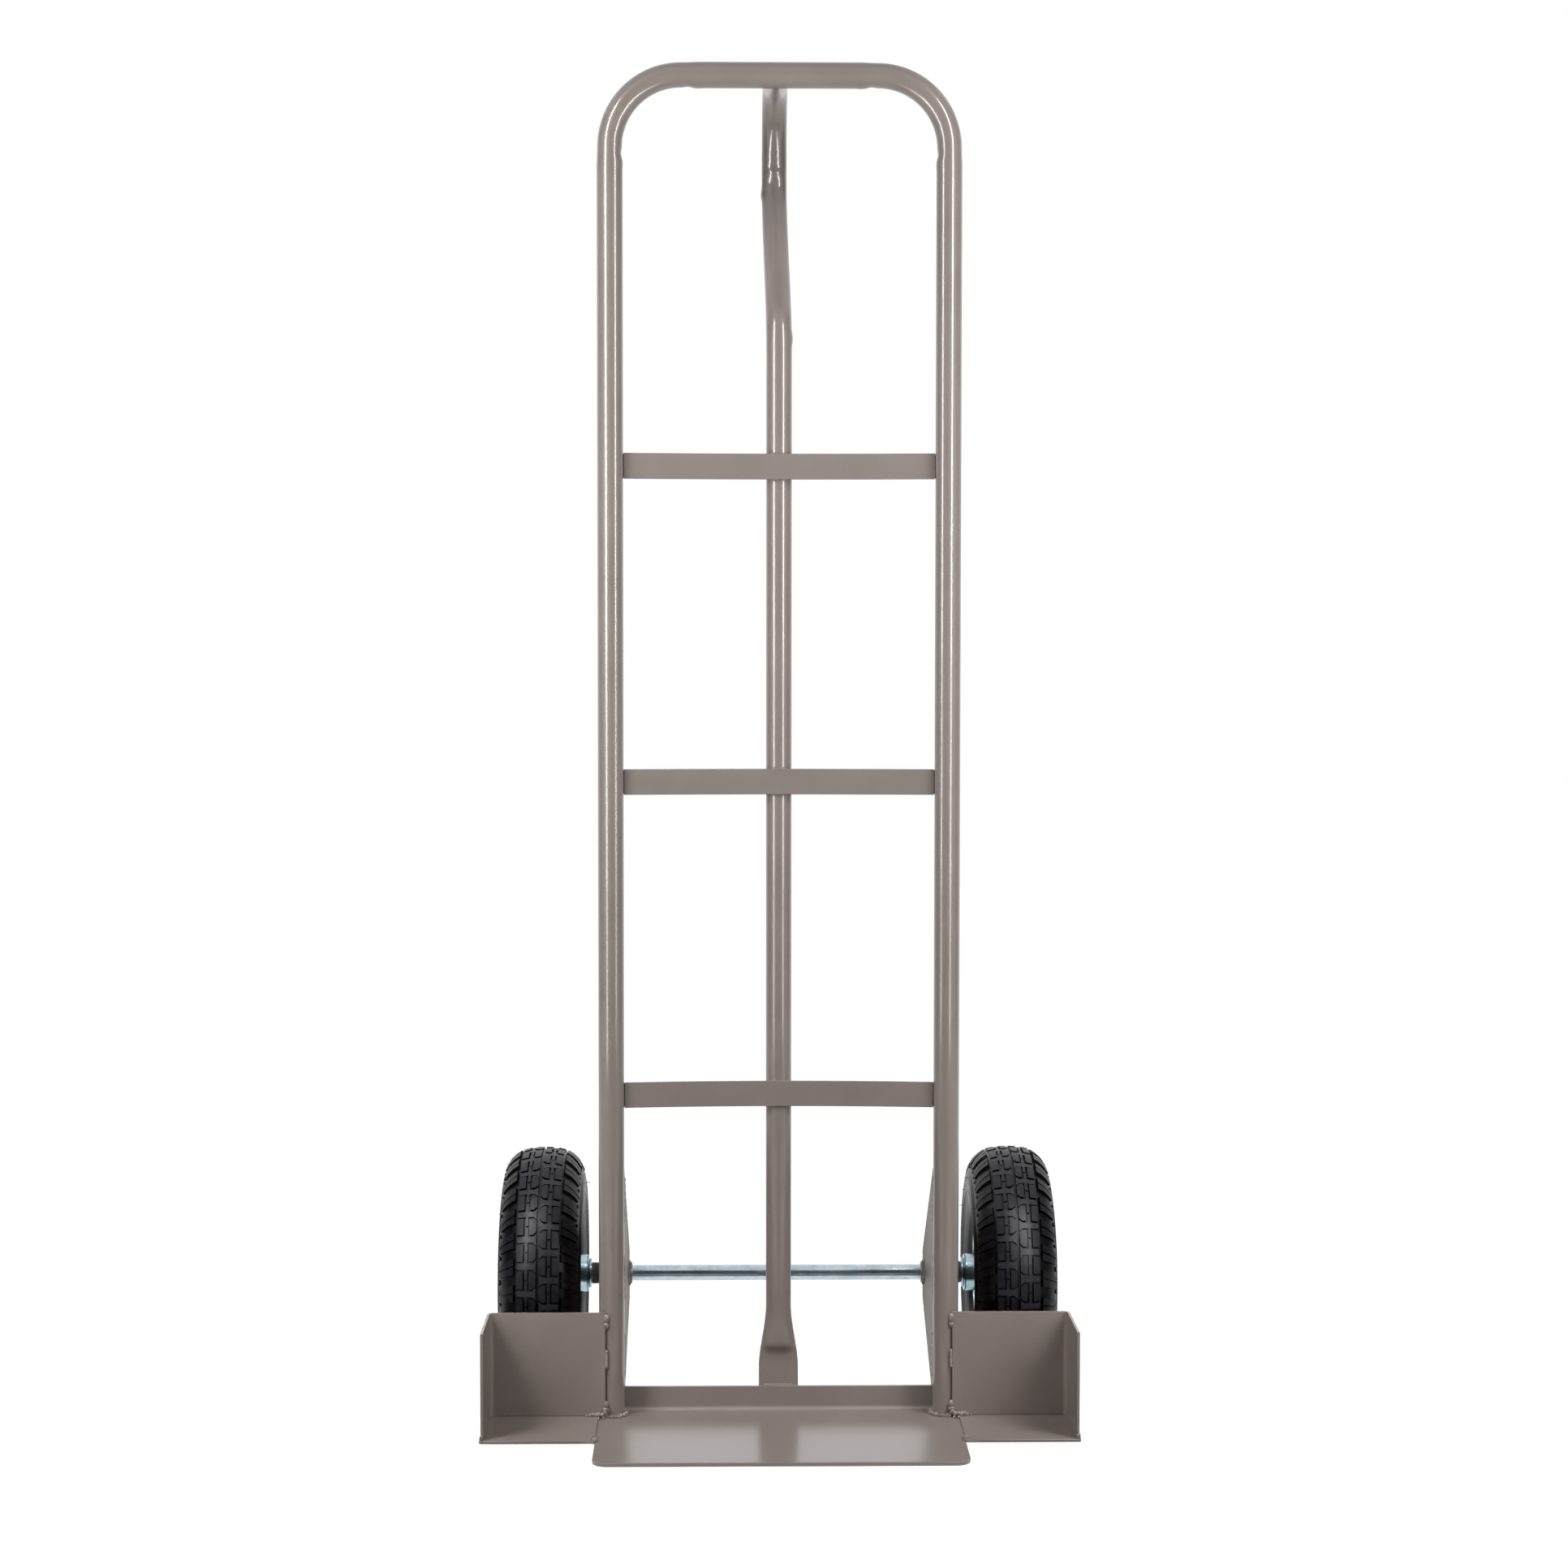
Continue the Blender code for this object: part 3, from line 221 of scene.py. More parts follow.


# Each finish is a material and the record's slot that it belongs to. The weld coat is lumpier,
# and the gussets' coat is a matt copy without the clear gloss, its extra dark flecks a painted
# shade.
# Ground bearing steel is a bright plain grey, butyl a dull black, turned brass warm and soft, and
# moulded nylon black with a low shine.
powderCoat = makePowderCoat("powderCoatedSteel", 0.01 * mm, 0.35, 0.8, 1.5, 0.15), "powder_coat"
sheetCoat = makePowderCoat("powderCoatedSheet", 0.012 * mm, 0.35, 1.0, 1.5, 0.19), "powder_coat"
weldCoat = makePowderCoat("powderCoatedWeld", 0.12 * mm, 0.3, 1.0, 1.5), "powder_coat"
# painted shade: a darker matt copy of the powder coat, for the gussets
mattPaintedShadeCoat = makePowderCoat("mattPowderCoatWithPaintedShade", 0.08 * mm, 0.6, 0.0, 1.3), "powder_coat"
zincBar = makeZincPlate("bluePassivatedZincBar", "#BFCBD2", "#A9BAC4", "X"), "zinc_plate"
zincPressing = (makeZincPlate("bluePassivatedZincPressing", "#B4C6CC", "#86A9B4", "Z"),
                "zinc_plate")
bearingSteel = (makePlainMoulded("groundBearingSteel", "#C4C4C2", "#A9AAAA", 0.24, 0.6 * mm, 1.0),
                "bearing_steel")
tyreRubber = makeTyreRubber("mouldedTyreRubber"), "tyre_rubber"
butylRubber = makePlainMoulded("butylRubber", "#1B1B1B", "#232323", 0.66, 1.1 * mm), "tyre_rubber"
turnedBrass = makePlainMoulded("turnedBrass", "#C9A96A", "#B08F4E", 0.3, 0.5 * mm, 1.0), "brass"
capPlastic = (makePlainMoulded("mouldedBlackNylon", "#171718", "#202021", 0.42, 0.7 * mm),
              "cap_plastic")
print("materials made")


# Ways of making a piece
def arc(centre, radius, startDeg, endDeg, steps):
    angles = [math.radians(startDeg + (endDeg - startDeg) * i / steps) for i in range(steps + 1)]
    return [(centre[0] + radius * math.cos(a), centre[1] + radius * math.sin(a)) for a in angles]


def ease(value, low, high):
    share = min(max((value - low) / (high - low), 0.0), 1.0)
    return share * share * (3 - 2 * share)


def between(start, end, share):
    return start + (end - start) * share


def hump(value, middle, width):
    return math.exp(-((value - middle) / width) ** 2)


def spaced(low, high, step):
    count = max(1, round(abs(high - low) / step))
    return [low + (high - low) * i / count for i in range(count + 1)]


softEdge = {"segments": 3, "from": 35, "crease": 38}     # angles in degrees, between two faces


def roundEdges(piece, width, segments, fromAngle):
    rounding = piece.modifiers.new("roundedEdges", "BEVEL")
    rounding.width = width
    rounding.segments = segments
    rounding.limit_method = "ANGLE"
    rounding.angle_limit = math.radians(fromAngle)
    rounding.harden_normals = True


def addPiece(name, bm, finish, replaced=(), bevel=0.0, body="frame", place=truckPlace):
    # One finished mesh, with the body it rides on and the CAD node it stands for
    material, slot = finish
    bmesh.ops.recalc_face_normals(bm, faces=bm.faces)
    mesh = bpy.data.meshes.new(name)
    bm.to_mesh(mesh)
    bm.free()
    mesh.materials.append(material)
    mesh.shade_smooth()
    piece = bpy.data.objects.new(name, mesh)
    scene.collection.objects.link(piece)
    piece.matrix_world = place
    if bevel:
        roundEdges(piece, bevel, softEdge["segments"], softEdge["from"])
    else:
        mesh.set_sharp_from_angle(angle=math.radians(softEdge["crease"]))
    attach(piece, body)
    if replaced:
        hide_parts(*replaced)


def dressNode(name, finish):
    # A CAD node that keeps its shape and gets its finish
    node = cadNodes[name]
    node.data.materials.clear()
    node.data.materials.append(finish[0])
    return node


def loft(bm, rings, closed=False):
    # Skin over a row of rings, closed into a loop or capped at both ends
    grid = [[bm.verts.new(point) for point in ring] for ring in rings]
    pairs = list(zip(grid, grid[1:])) + ([(grid[-1], grid[0])] if closed else [])
    for first, second in pairs:
        for i in range(len(first)):
            bm.faces.new((first[i - 1], first[i], second[i], second[i - 1]))
    if not closed:
        bm.faces.new(grid[0])
        bm.faces.new(grid[-1])
    return grid


def roundSection(radius, count):
    angles = [math.tau * k / count for k in range(count)]
    return [(radius * math.cos(angle), radius * math.sin(angle)) for angle in angles]


def tubeRings(points, across, ringAt):
    # Rings square to a path in one plane; ringAt gives (across, outward) offsets at a station
    rings = []
    for i, point in enumerate(points):
        before = (point - points[i - 1]).normalized() if i else None
        after = (points[i + 1] - point).normalized() if i + 1 < len(points) else None
        along = ((before or after) + (after or before)).normalized()
        outward = along.cross(across)
        rings.append([point + across * u + outward * v for u, v in ringAt(i)])
    return rings


def extrude(outline, start, end, upright=True):
    # An outline pushed along Z, or a side view's outline pushed along X
    bm = bmesh.new()
    loft(bm, [[(u, v, at) if upright else (at, u, v) for u, v in outline] for at in (start, end)])
    return bm


def sheetOutline(path, thickness):
    # A sheet of even thickness seen on edge, half of it on each side of the path
    points = [Vector(point) for point in path]
    steps = [(after - before).normalized() for before, after in zip(points, points[1:])]
    one, other = [], []
    for i, point in enumerate(points):
        before, after = steps[max(i - 1, 0)], steps[min(i, len(steps) - 1)]
        along = (before + after).normalized()
        square = Vector((-along.y, along.x)) * (thickness / 2 / along.dot(after))
        one.append(point + square)
        other.append(point - square)
    return one + other[::-1]


def turned(bm, outline, steps):
    # A closed outline of (x, radius) spun round the X axis
    angles = [math.tau * i / steps for i in range(steps)]
    loft(bm, [[(x, r * math.sin(angle), -r * math.cos(angle)) for x, r in outline]
              for angle in angles], closed=True)
    apart = 0.001 * mm
    bmesh.ops.remove_doubles(bm, verts=bm.verts, dist=apart)
    bmesh.ops.dissolve_degenerate(bm, edges=bm.edges, dist=apart)


# Outer frame: one tube bent into a hoop
frameTube = {
    "sides": 56,
    "squash": 0.045,            # how much a bend flattens the tube
    "kinkDepth": 0.9 * mm,      # the nick inside each bend, where the former let go
    "kinkBack": 6.5 * mm,
    "kinkWidth": 4.5 * mm,
    "foldBack": 15.6 * mm,      # the ridge that the nick throws up behind it
    "foldShare": 0.45,
    "bentOver": 20 * mm,        # the flattening fades over this length of straight tube
}


def frameStations():
    # ((x, z), length of straight tube since the bend, or 0 inside it), closer near the bends
    foot = truck["toeThick"] + truck["gap"]
    bendX = truck["railX"] - truck["bend"]
    bendZ = truck["topBar"] - truck["bend"]
    rail = spaced(foot, bendZ - 60 * mm, 150 * mm) + spaced(bendZ - 58 * mm, bendZ, 2 * mm)[:-1]
    left = [((-truck["railX"], z), bendZ - z) for z in rail]
    left += [((x, z), 0.0) for x, z in arc((-bendX, bendZ), truck["bend"], 180, 90, 36)]
    bar = spaced(-bendX, -bendX + 58 * mm, 2 * mm)[1:] + spaced(-bendX + 60 * mm, 0, 12 * mm)
    left += [((x, truck["topBar"]), x + bendX) for x in bar]
    right = [((-x, z), past) for (x, z), past in left[-2::-1]]
    return left + right


def makeOuterFrame():
    stations = frameStations()
    points = [Vector((x, 0, z)) for (x, z), past in stations]
    count = frameTube["sides"]

    def ringAt(i, wall=0.0):
        past = stations[i][1]
        flat = frameTube["squash"] * (1 - ease(past, 0, frameTube["bentOver"]))
        wide = truck["tube"] * (1 + flat * 0.3) - wall
        deep = truck["tube"] * (1 - flat) - wall
        nick = hump(past, frameTube["kinkBack"], frameTube["kinkWidth"])
        nick -= frameTube["foldShare"] * hump(past, frameTube["foldBack"], frameTube["kinkWidth"])
        ring = []
        for k in range(count):
            angle = math.tau * k / count
            inner = max(0.0, -math.sin(angle))
            pinch = frameTube["kinkDepth"] * nick * inner ** 3 if past > 0 else 0.0
            ring.append((math.cos(angle) * wide, math.sin(angle) * deep + pinch))
        return ring

    across = Vector((0, 1, 0))
    outside = tubeRings(points, across, ringAt)
    inside = tubeRings(points, across, lambda i: ringAt(i, truck["tubeWall"]))
    bm = bmesh.new()
    loft(bm, outside + inside[::-1], closed=True)
    addPiece("outerFrameTube", bm, powderCoat, ["outer_frame"])


makeOuterFrame()

# Centre tube: crushed flat behind the flange, bent out at the top into the P-handle
centreTube = {
    "sides": 56,
    "y": 24.5 * mm,
    "flatY": 23.4 * mm, "flatHalfWidth": 19.75 * mm, "flatHalfDepth": 1.9 * mm,
    "foot": 6 * mm, "flatTop": 45 * mm, "roundFrom": 110 * mm,
    "creaseFrom": 64 * mm, "creaseTo": 72 * mm,     # where the front face rolls in
    "bendLow": 1063.2 * mm, "slope": 35, "bendHigh": 1251.3 * mm, "grip": 125.3 * mm,
    "lean": -3.6 * mm,          # the handle leans this much to the left at its top
    "leanFrom": 1060 * mm, "leanTo": 1240 * mm,
    "pressed": 1.7 * mm,        # the flat that the former pressed into the slope's front
    "pressedFrom": 1102 * mm, "pressedTo": 1243 * mm,
    "flatSlant": 7 * mm,        # how much higher it ends on the left
    # (depth, height, width): a nick and a swelling where the grip starts, and one on each side
    "frontNicks": ((1.3 * mm, 1256.9 * mm, 2.2 * mm), (-0.7 * mm, 1248.7 * mm, 3.5 * mm)),
    "sideNicks": ((-1.0 * mm, 1229 * mm, 6 * mm), (1.0 * mm, 1074 * mm, 6 * mm)),
}


def centreStations():
    # (y, z) of the tube's middle line, from the foot up, back and forward to the top bar,
    # closest where its section changes
    bend = truck["bend"]
    low = spaced(centreTube["foot"], 125 * mm, 2.5 * mm)
    straight = spaced(140 * mm, centreTube["bendLow"] - 40 * mm, 110 * mm)
    straight += spaced(centreTube["bendLow"] - 36 * mm, centreTube["bendLow"], 3 * mm)[:-1]
    points = []
    for z in low:
        share = ease(z, centreTube["flatTop"], centreTube["roundFrom"])
        points.append((between(centreTube["flatY"], centreTube["y"], share), z))
    points += [(centreTube["y"], z) for z in straight]
    lower = arc((centreTube["y"] + bend, centreTube["bendLow"]), bend, 180,
                180 - centreTube["slope"], 14)
    upper = arc((centreTube["grip"] - bend, centreTube["bendHigh"]), bend,
                -centreTube["slope"], 0, 16)
    points += lower
    (y0, z0), (y1, z1) = lower[-1], upper[0]
    count = 40
    points += [(between(y0, y1, i / count), between(z0, z1, i / count)) for i in range(1, count)]
    points += upper
    points += [(centreTube["grip"], centreTube["bendHigh"] + 3 * mm)]
    top = truck["topBar"] - bend
    points += arc((centreTube["grip"] - bend, top), bend, 0, 90, 44)
    forward = spaced(centreTube["grip"] - bend, 20 * mm, 4 * mm)[1:]
    return points + [(y, truck["topBar"]) for y in forward]


def centreSection(z, angle, onTop):
    # Half width and half depth at one place, with the crush, the pressed flat and the nicks
    share = ease(z, centreTube["flatTop"], centreTube["roundFrom"])
    crease = z + 3 * mm - 5 * mm * math.cos(angle) ** 2      # it sags in the middle
    roll = ease(crease, centreTube["creaseFrom"], centreTube["creaseTo"])
    front = max(0.0, -math.sin(angle))
    wide = between(centreTube["flatHalfWidth"], truck["tube"], share)
    depthShare = between(roll, share, 0.45) if front > 0 else share
    deep = between(centreTube["flatHalfDepth"], truck["tube"], depthShare)
    power = 0.5 + 0.5 * share
    if onTop:
        wide, deep = wide * 0.99, deep * 0.99       # a hair thinner than the bar it meets
    u = math.copysign(abs(math.cos(angle)) ** power, math.cos(angle)) * wide
    v = math.copysign(abs(math.sin(angle)) ** power, math.sin(angle)) * deep
    if z > 1.0 and not onTop:
        late = centreTube["flatSlant"] * math.cos(angle)
        start, end = centreTube["pressedFrom"], centreTube["pressedTo"]
        flat = ease(z, start - 10 * mm, start + 10 * mm)
        flat *= 1 - ease(z, end - 9 * mm - late, end + 9 * mm - 1.5 * late)
        v += centreTube["pressed"] * flat * front ** 1.5
        for deepest, at, width in centreTube["frontNicks"]:
            v += deepest * hump(z, at, width) * front ** 3
        for deepest, at, width in centreTube["sideNicks"]:
            facing = math.copysign(1, deepest) * math.cos(angle)
            u += deepest * hump(z, at, width) * max(0.0, facing) ** 4
    return u, v


def makeCentreTube():
    stations = centreStations()
    topFrom = centreTube["bendHigh"] + 20 * mm
    topIndex = next(i for i, (y, z) in enumerate(stations) if z > topFrom)
    count = centreTube["sides"]
    points = [Vector((centreTube["lean"] * ease(z, centreTube["leanFrom"], centreTube["leanTo"]),
                      y, z)) for y, z in stations]

    def ringAt(i, wall=0.0):
        ring = []
        for k in range(count):
            u, v = centreSection(stations[i][1], math.tau * k / count, i > topIndex)
            length = math.hypot(u, v)
            keep = max(length - wall, 0.25 * length) / length
            ring.append((u * keep, v * keep))
        return ring

    def cope(rings):
        # The last ring runs on to the top bar and is cut to its round
        reach = truck["tube"] + truck["gap"]
        last = []
        for point in rings[-1]:
            lift = min(abs(point.z - truck["topBar"]), reach * 0.995)
            last.append(Vector((point.x, math.sqrt(reach ** 2 - lift ** 2), point.z)))
        return rings + [last]

    across = Vector((1, 0, 0))
    outside = cope(tubeRings(points, across, ringAt))
    inside = cope(tubeRings(points, across, lambda i: ringAt(i, truck["tubeWall"])))
    bm = bmesh.new()
    loft(bm, outside + inside[::-1], closed=True)
    addPiece("centreTubeAndHandle", bm, powderCoat, ["centre_tube"])


makeCentreTube()
print("tubes made")

# Cross straps
strap = {"height": 25.4 * mm, "thick": 3 * mm, "bow": 10 * mm, "lowest": 324.5 * mm,
         "spacing": 311.2 * mm, "edge": 0.7 * mm}


def makeStraps():
    # Bowed back between the rails, so that the middle lies on the centre tube
    halfSpan = truck["railX"] - truck["tube"] - truck["gap"]
    radius = (halfSpan ** 2 + strap["bow"] ** 2) / (2 * strap["bow"])
    swing = math.degrees(math.asin(halfSpan / radius))
    line = arc((0, strap["bow"] - radius), radius, 90 + swing, 90 - swing, 40)
    outline = sheetOutline(line, strap["thick"])
    for level, name in enumerate(("bottom", "middle", "top")):
        low = strap["lowest"] + strap["spacing"] * level - strap["height"] / 2
        bm = extrude(outline, low, low + strap["height"])
        addPiece(name + "CrossStrap", bm, powderCoat, [name + "_strap"], strap["edge"])


makeStraps()

# Toe plate, its flange turned up behind the rails
toePlate = {"halfWidth": 179.1 * mm, "corner": 15 * mm, "bend": 4.5 * mm, "flangeTop": 27.6 * mm,
            "edge": 0.8 * mm}


def makeToePlate():
    half = truck["toeThick"] / 2
    bend = toePlate["bend"] + half
    flangeY = truck["tube"] + bend
    path = [(-truck["toeReach"], half), (-truck["toeReach"] + 40 * mm, half)]
    path += arc((flangeY - bend, half + bend), bend, -90, 0, 12)
    path += [(flangeY, toePlate["flangeTop"])]
    outline = sheetOutline(path, truck["toeThick"])
    bm = extrude(outline, -toePlate["halfWidth"], toePlate["halfWidth"], upright=False)
    frontY = -truck["toeReach"] + truck["gap"]
    corners = [edge for edge in bm.edges
               if max(vert.co.y for vert in edge.verts) < frontY
               and abs(edge.verts[0].co.x - edge.verts[1].co.x) < truck["gap"]]
    bmesh.ops.bevel(bm, geom=corners, offset=toePlate["corner"], offset_type="OFFSET",
                    segments=14, profile=0.5, affect="EDGES")
    addPiece("toePlateAndFlange", bm, sheetCoat, ["toe_plate"], toePlate["edge"])


makeToePlate()

# Wings: a folded back-and-side plate over a floor plate, beside each rail
wing = {"thick": 2.8 * mm, "bend": 4 * mm, "span": 289 * mm, "top": 109.5 * mm, "depth": 93.3 * mm,
        "lap": 6 * mm, "floorTop": 5.9 * mm, "floorThick": 3 * mm, "lip": 1.5 * mm,
        "floorCorner": 2 * mm, "edge": 0.45 * mm}
railClear = math.sqrt(truck["tube"] ** 2 - wing["lap"] ** 2) + truck["gap"]
wing["backY"] = -railClear - wing["thick"] / 2
wing["frontY"] = -railClear - wing["depth"]
wing["sideX"] = wing["span"] - wing["thick"] / 2


def makeWing(name, side):
    bend = wing["bend"] + wing["thick"] / 2
    path = [(truck["railX"] + wing["lap"], wing["backY"])]
    path += arc((wing["sideX"] - bend, wing["backY"] - bend), bend, 90, 0, 12)
    path += [(wing["sideX"], wing["frontY"])]
    outline = sheetOutline([(x * side, y) for x, y in path], wing["thick"])
    shell = extrude(outline, wing["floorTop"] + truck["gap"], wing["top"])
    addPiece(name + "WingBackAndSide", shell, powderCoat, [name + "_wing_shell"], wing["edge"])
    innerX, outerX = toePlate["halfWidth"] + truck["gap"], wing["span"] + wing["lip"]
    frontY, corner = wing["frontY"] - wing["lip"], wing["floorCorner"]
    plan = [(innerX, -railClear), (outerX, -railClear)]
    plan += arc((outerX - corner, frontY + corner), corner, 0, -90, 6) + [(innerX, frontY)]
    floor = extrude([(x * side, y) for x, y in plan], wing["floorTop"] - wing["floorThick"],
                    wing["floorTop"])
    addPiece(name + "WingFloor", floor, powderCoat, [name + "_wing_floor"], wing["edge"])


for sideName, side in bothSides:
    makeWing(sideName, side)
print("sheet metal made")

# Gussets, sleeves, axle and what sits on it
gusset = {"innerX": 154.0 * mm, "thick": 3.3 * mm, "edge": 0.4 * mm,
          "edgeFrom": 40}           # degrees between two faces, for a rounded edge
axle = {"radius": 7.95 * mm, "halfLength": 266.63 * mm, "chamfer": 1.0 * mm}
sleeve = {"innerX": 150.5 * mm, "length": 42 * mm, "radius": 11 * mm, "bore": 8.25 * mm,
          "corner": 0.5 * mm}
washer = {"inboard": 2.4 * mm, "inboardRadius": 15 * mm, "outboard": 2 * mm,
          "outboardRadius": 14 * mm, "corner": 0.4 * mm}
splitPin = {"x": 257.46 * mm, "wire": 0.75 * mm, "eye": 2.8 * mm, "halfGap": 0.95 * mm,
            "spread": 4.95 * mm, "legLength": 3.5 * mm}
hub = {"innerX": 195.5 * mm, "length": 57.2 * mm, "radius": 19.1 * mm, "bore": 17.5 * mm,
       "bearing": 17.2 * mm, "bearingWide": 11.1 * mm,      # the bearing's pressed shell
       "race": 10.65 * mm,                                  # its inner race, on the axle
       "flangeProud": 1.6 * mm, "flangeThick": 1.2 * mm}


def spin(name, outline, side, steps, finish, node, body="frame", place=axlePlace):
    # A turned piece on the axle's line, mirrored for the left side
    bm = bmesh.new()
    turned(bm, [(x * side, r) for x, r in outline], steps)
    addPiece(name, bm, finish, [node], 0.0, body, place)


def onWheel(name, side):
    return {"body": name + "_wheel", "place": wheelPlace(side)}


def roundedCollar(start, end, bore, radius, corner):
    # The outline of a ring whose outer corners are rounded
    return [(start, bore), (start, radius - corner), (start + 0.3 * corner, radius - 0.3 * corner),
            (start + corner, radius), (end - corner, radius),
            (end - 0.3 * corner, radius - 0.3 * corner), (end, radius - corner), (end, bore)]


def dressGusset(name):
    # The CAD gusset keeps its shape and gets its softened edges and the matt coat with painted
    # shade
    node = dressNode(name + "_gusset", mattPaintedShadeCoat)
    weld = node.modifiers.new("mergedCorners", "WELD")
    weld.merge_threshold = 0.01 * mm
    roundEdges(node, gusset["edge"], 2, gusset["edgeFrom"])


def makeAxle():
    end, radius, chamfer = axle["halfLength"], axle["radius"], axle["chamfer"]
    bm = bmesh.new()
    loft(bm, [[(x, v, u) for u, v in roundSection(r, 48)] for x, r in (
        (-end, radius - chamfer), (-end + chamfer, radius), (end - chamfer, radius),
        (end, radius - chamfer))])
    addPiece("axleBar", bm, zincBar, ["axle"], place=axlePlace)


def makeSplitPin(name, side):
    # One wire: up through the axle, round the eye and down again, its legs spread below
    eye, halfGap = splitPin["eye"], splitPin["halfGap"]
    shoulder = axle["radius"] + truck["gap"]
    mouth = math.degrees(math.asin(halfGap / eye))
    leg = [(splitPin["spread"], -shoulder - splitPin["legLength"]),
           (2.0 * mm, -shoulder - 1.2 * mm), (halfGap, -shoulder + 0.6 * mm)]
    path = leg + arc((0, shoulder + eye + splitPin["wire"]), eye, -90 + mouth, 270 - mouth, 24)
    path += [(-y, z) for y, z in leg[::-1]]
    section = roundSection(splitPin["wire"], 12)
    bm = bmesh.new()
    loft(bm, tubeRings([Vector((0, y, z)) for y, z in path], Vector((1, 0, 0)), lambda i: section))
    place = Matrix.Translation((side * splitPin["x"], 0, 0)) @ axlePlace
    addPiece(name + "SplitPin", bm, zincBar, [name + "_split_pin"], place=place)


def makeAxleFittings(name, side):
    hubOuter = hub["innerX"] + hub["length"]
    start, end = sleeve["innerX"], sleeve["innerX"] + sleeve["length"]
    spin(name + "AxleSleeve",
         roundedCollar(start, end, sleeve["bore"], sleeve["radius"], sleeve["corner"]),
         side, 48, powderCoat, name + "_axle_sleeve")
    for where, low in (("inboard", end + truck["gap"]), ("outboard", hubOuter + truck["gap"])):
        spin(name + where.capitalize() + "Washer",
             roundedCollar(low, low + washer[where], sleeve["bore"], washer[where + "Radius"],
                           washer["corner"]), side, 56, zincPressing, f"{name}_{where}_washer")
    for where, low in (("inboard", hub["innerX"]), ("outboard", hubOuter - hub["bearingWide"])):
        spin(name + where.capitalize() + "InnerRace",
             roundedCollar(low, low + hub["bearingWide"], sleeve["bore"], hub["race"], 0.3 * mm),
             side, 48, bearingSteel, f"{name}_{where}_inner_race")
    dressNode(name + "_hub_spacer", bearingSteel)
    makeSplitPin(name, side)


makeAxle()
for sideName, side in bothSides:
    dressGusset(sideName)
    makeAxleFittings(sideName, side)
print("axle line made")

# Tyres; a place on the skin is its distance from the crown
tyre = {
    "pitches": 30,
    "halfWidth": 39.7 * mm, "groove": 1.6 * mm, "middle": 94.108 * mm,
    "crown": 33.392 * mm, "skirt": 43.308 * mm, "power": 0.84,
    "skinEnd": 124, "hollowEnd": 104,       # degrees round the section from the crown
    "tread": 3.47 * mm,
    "block": 17.6 * mm, "cut": 1.8 * mm,    # tread block's length, and the cut at its ends
    "row": 19 * mm, "rowStart": 1.5 * mm, "rowRoot": 1.4 * mm,
    "rib": (6.6 * mm, 8.1 * mm, 10.9 * mm, 12.4 * mm),  # the strip in each block, between cuts
    "ribDrop": 1.1 * mm, "tieDrop": 0.9 * mm,           # how far they lie below the block tops
    "tick": 0.8 * mm,                                   # half the cut across the strip
    "grooveFloor": 0.4 * mm,
    # painted light for each face: painted shade in the grooves and on the crown's skin, painted
    # highlight on the block tops, ribs and lugs, strongest on the tie bands
    "paintedLightTones": {"groove": 0.0, "block": 0.42, "rib": 0.62, "tie": 1.0, "lug": 0.3, "skin": 0.12},
    "skinFrom": 30 * mm,        # the crown's skin inside this stays black
    "chamfer": 3.2 * mm,        # the blocks' inner corners, cut off at 45 degrees
    "draft": 0.16 * mm,         # how far a wall leans from its foot to its top
    "beadRadius": 50.8 * mm, "beadTop": 60.6 * mm, "beadOuter": 26.7 * mm, "beadInner": 19.7 * mm,
    "cavityWall": 4 * mm,
    # (distance from the crown, height) of the fine ribs that the mould turned, in mm
    "sidewallRibs": ((50.5, 0.5), (53.2, 0.45), (56.4, 0.6), (61.5, 0.4), (70.5, 0.7),
                     (76.0, 0.35)),
}
lug = {
    "start": 23.5 * mm, "wide": 19 * mm, "long": 17 * mm, "slant": 0.28,
    "taper": 0.16, "fall": 0.55,        # how much shorter and lower it is at the outer end
    "halfCut": 0.9 * mm, "cutFloor": 0.5 * mm, "skirt": 0.6 * mm, "root": 1.6 * mm,
    "drift": 0.3,                       # mm, each lug a little off its place
}
# nubs beside the lugs: ranges of place and size, and (share, height) of their rings, in mm
nub = {"away": (1.2, 3.2), "drift": 0.8, "long": (2.2, 3.6), "wide": (1.5, 2.4),
       "rings": ((1.0, -0.6), (0.85, 1.1), (0.7, 1.3))}
# vent hairs: ranges of place and length, and (share, radius) of their rings, in mm
hair = {"count": 26, "place": (22, 66), "run": (0, 823), "long": (2.5, 6.5), "lean": 2,
        "bow": 0.8, "rings": ((0.0, 0.42), (0.35, 0.32), (0.7, 0.26), (1.0, 0.14))}
treadPitch = math.tau * truck["wheelRadius"] / tyre["pitches"]


def carcassPoint(angle):
    # x and radius on one half of the carcass: angle 0 is the crown, a right angle the widest
    def power(value):
        return math.copysign(abs(value) ** tyre["power"], value)
    height = tyre["crown"] if angle < math.pi / 2 else tyre["skirt"]
    return (tyre["groove"] + tyre["halfWidth"] * power(math.sin(angle)),
            tyre["middle"] + height * power(math.cos(angle)))


carcassLine = [(0.0, tyre["middle"] + tyre["crown"])]
carcassLine += [carcassPoint(math.radians(tyre["skinEnd"]) * i / 400) for i in range(401)]
carcassReach = [0.0]
for (x0, r0), (x1, r1) in zip(carcassLine, carcassLine[1:]):
    carcassReach.append(carcassReach[-1] + math.hypot(x1 - x0, r1 - r0))


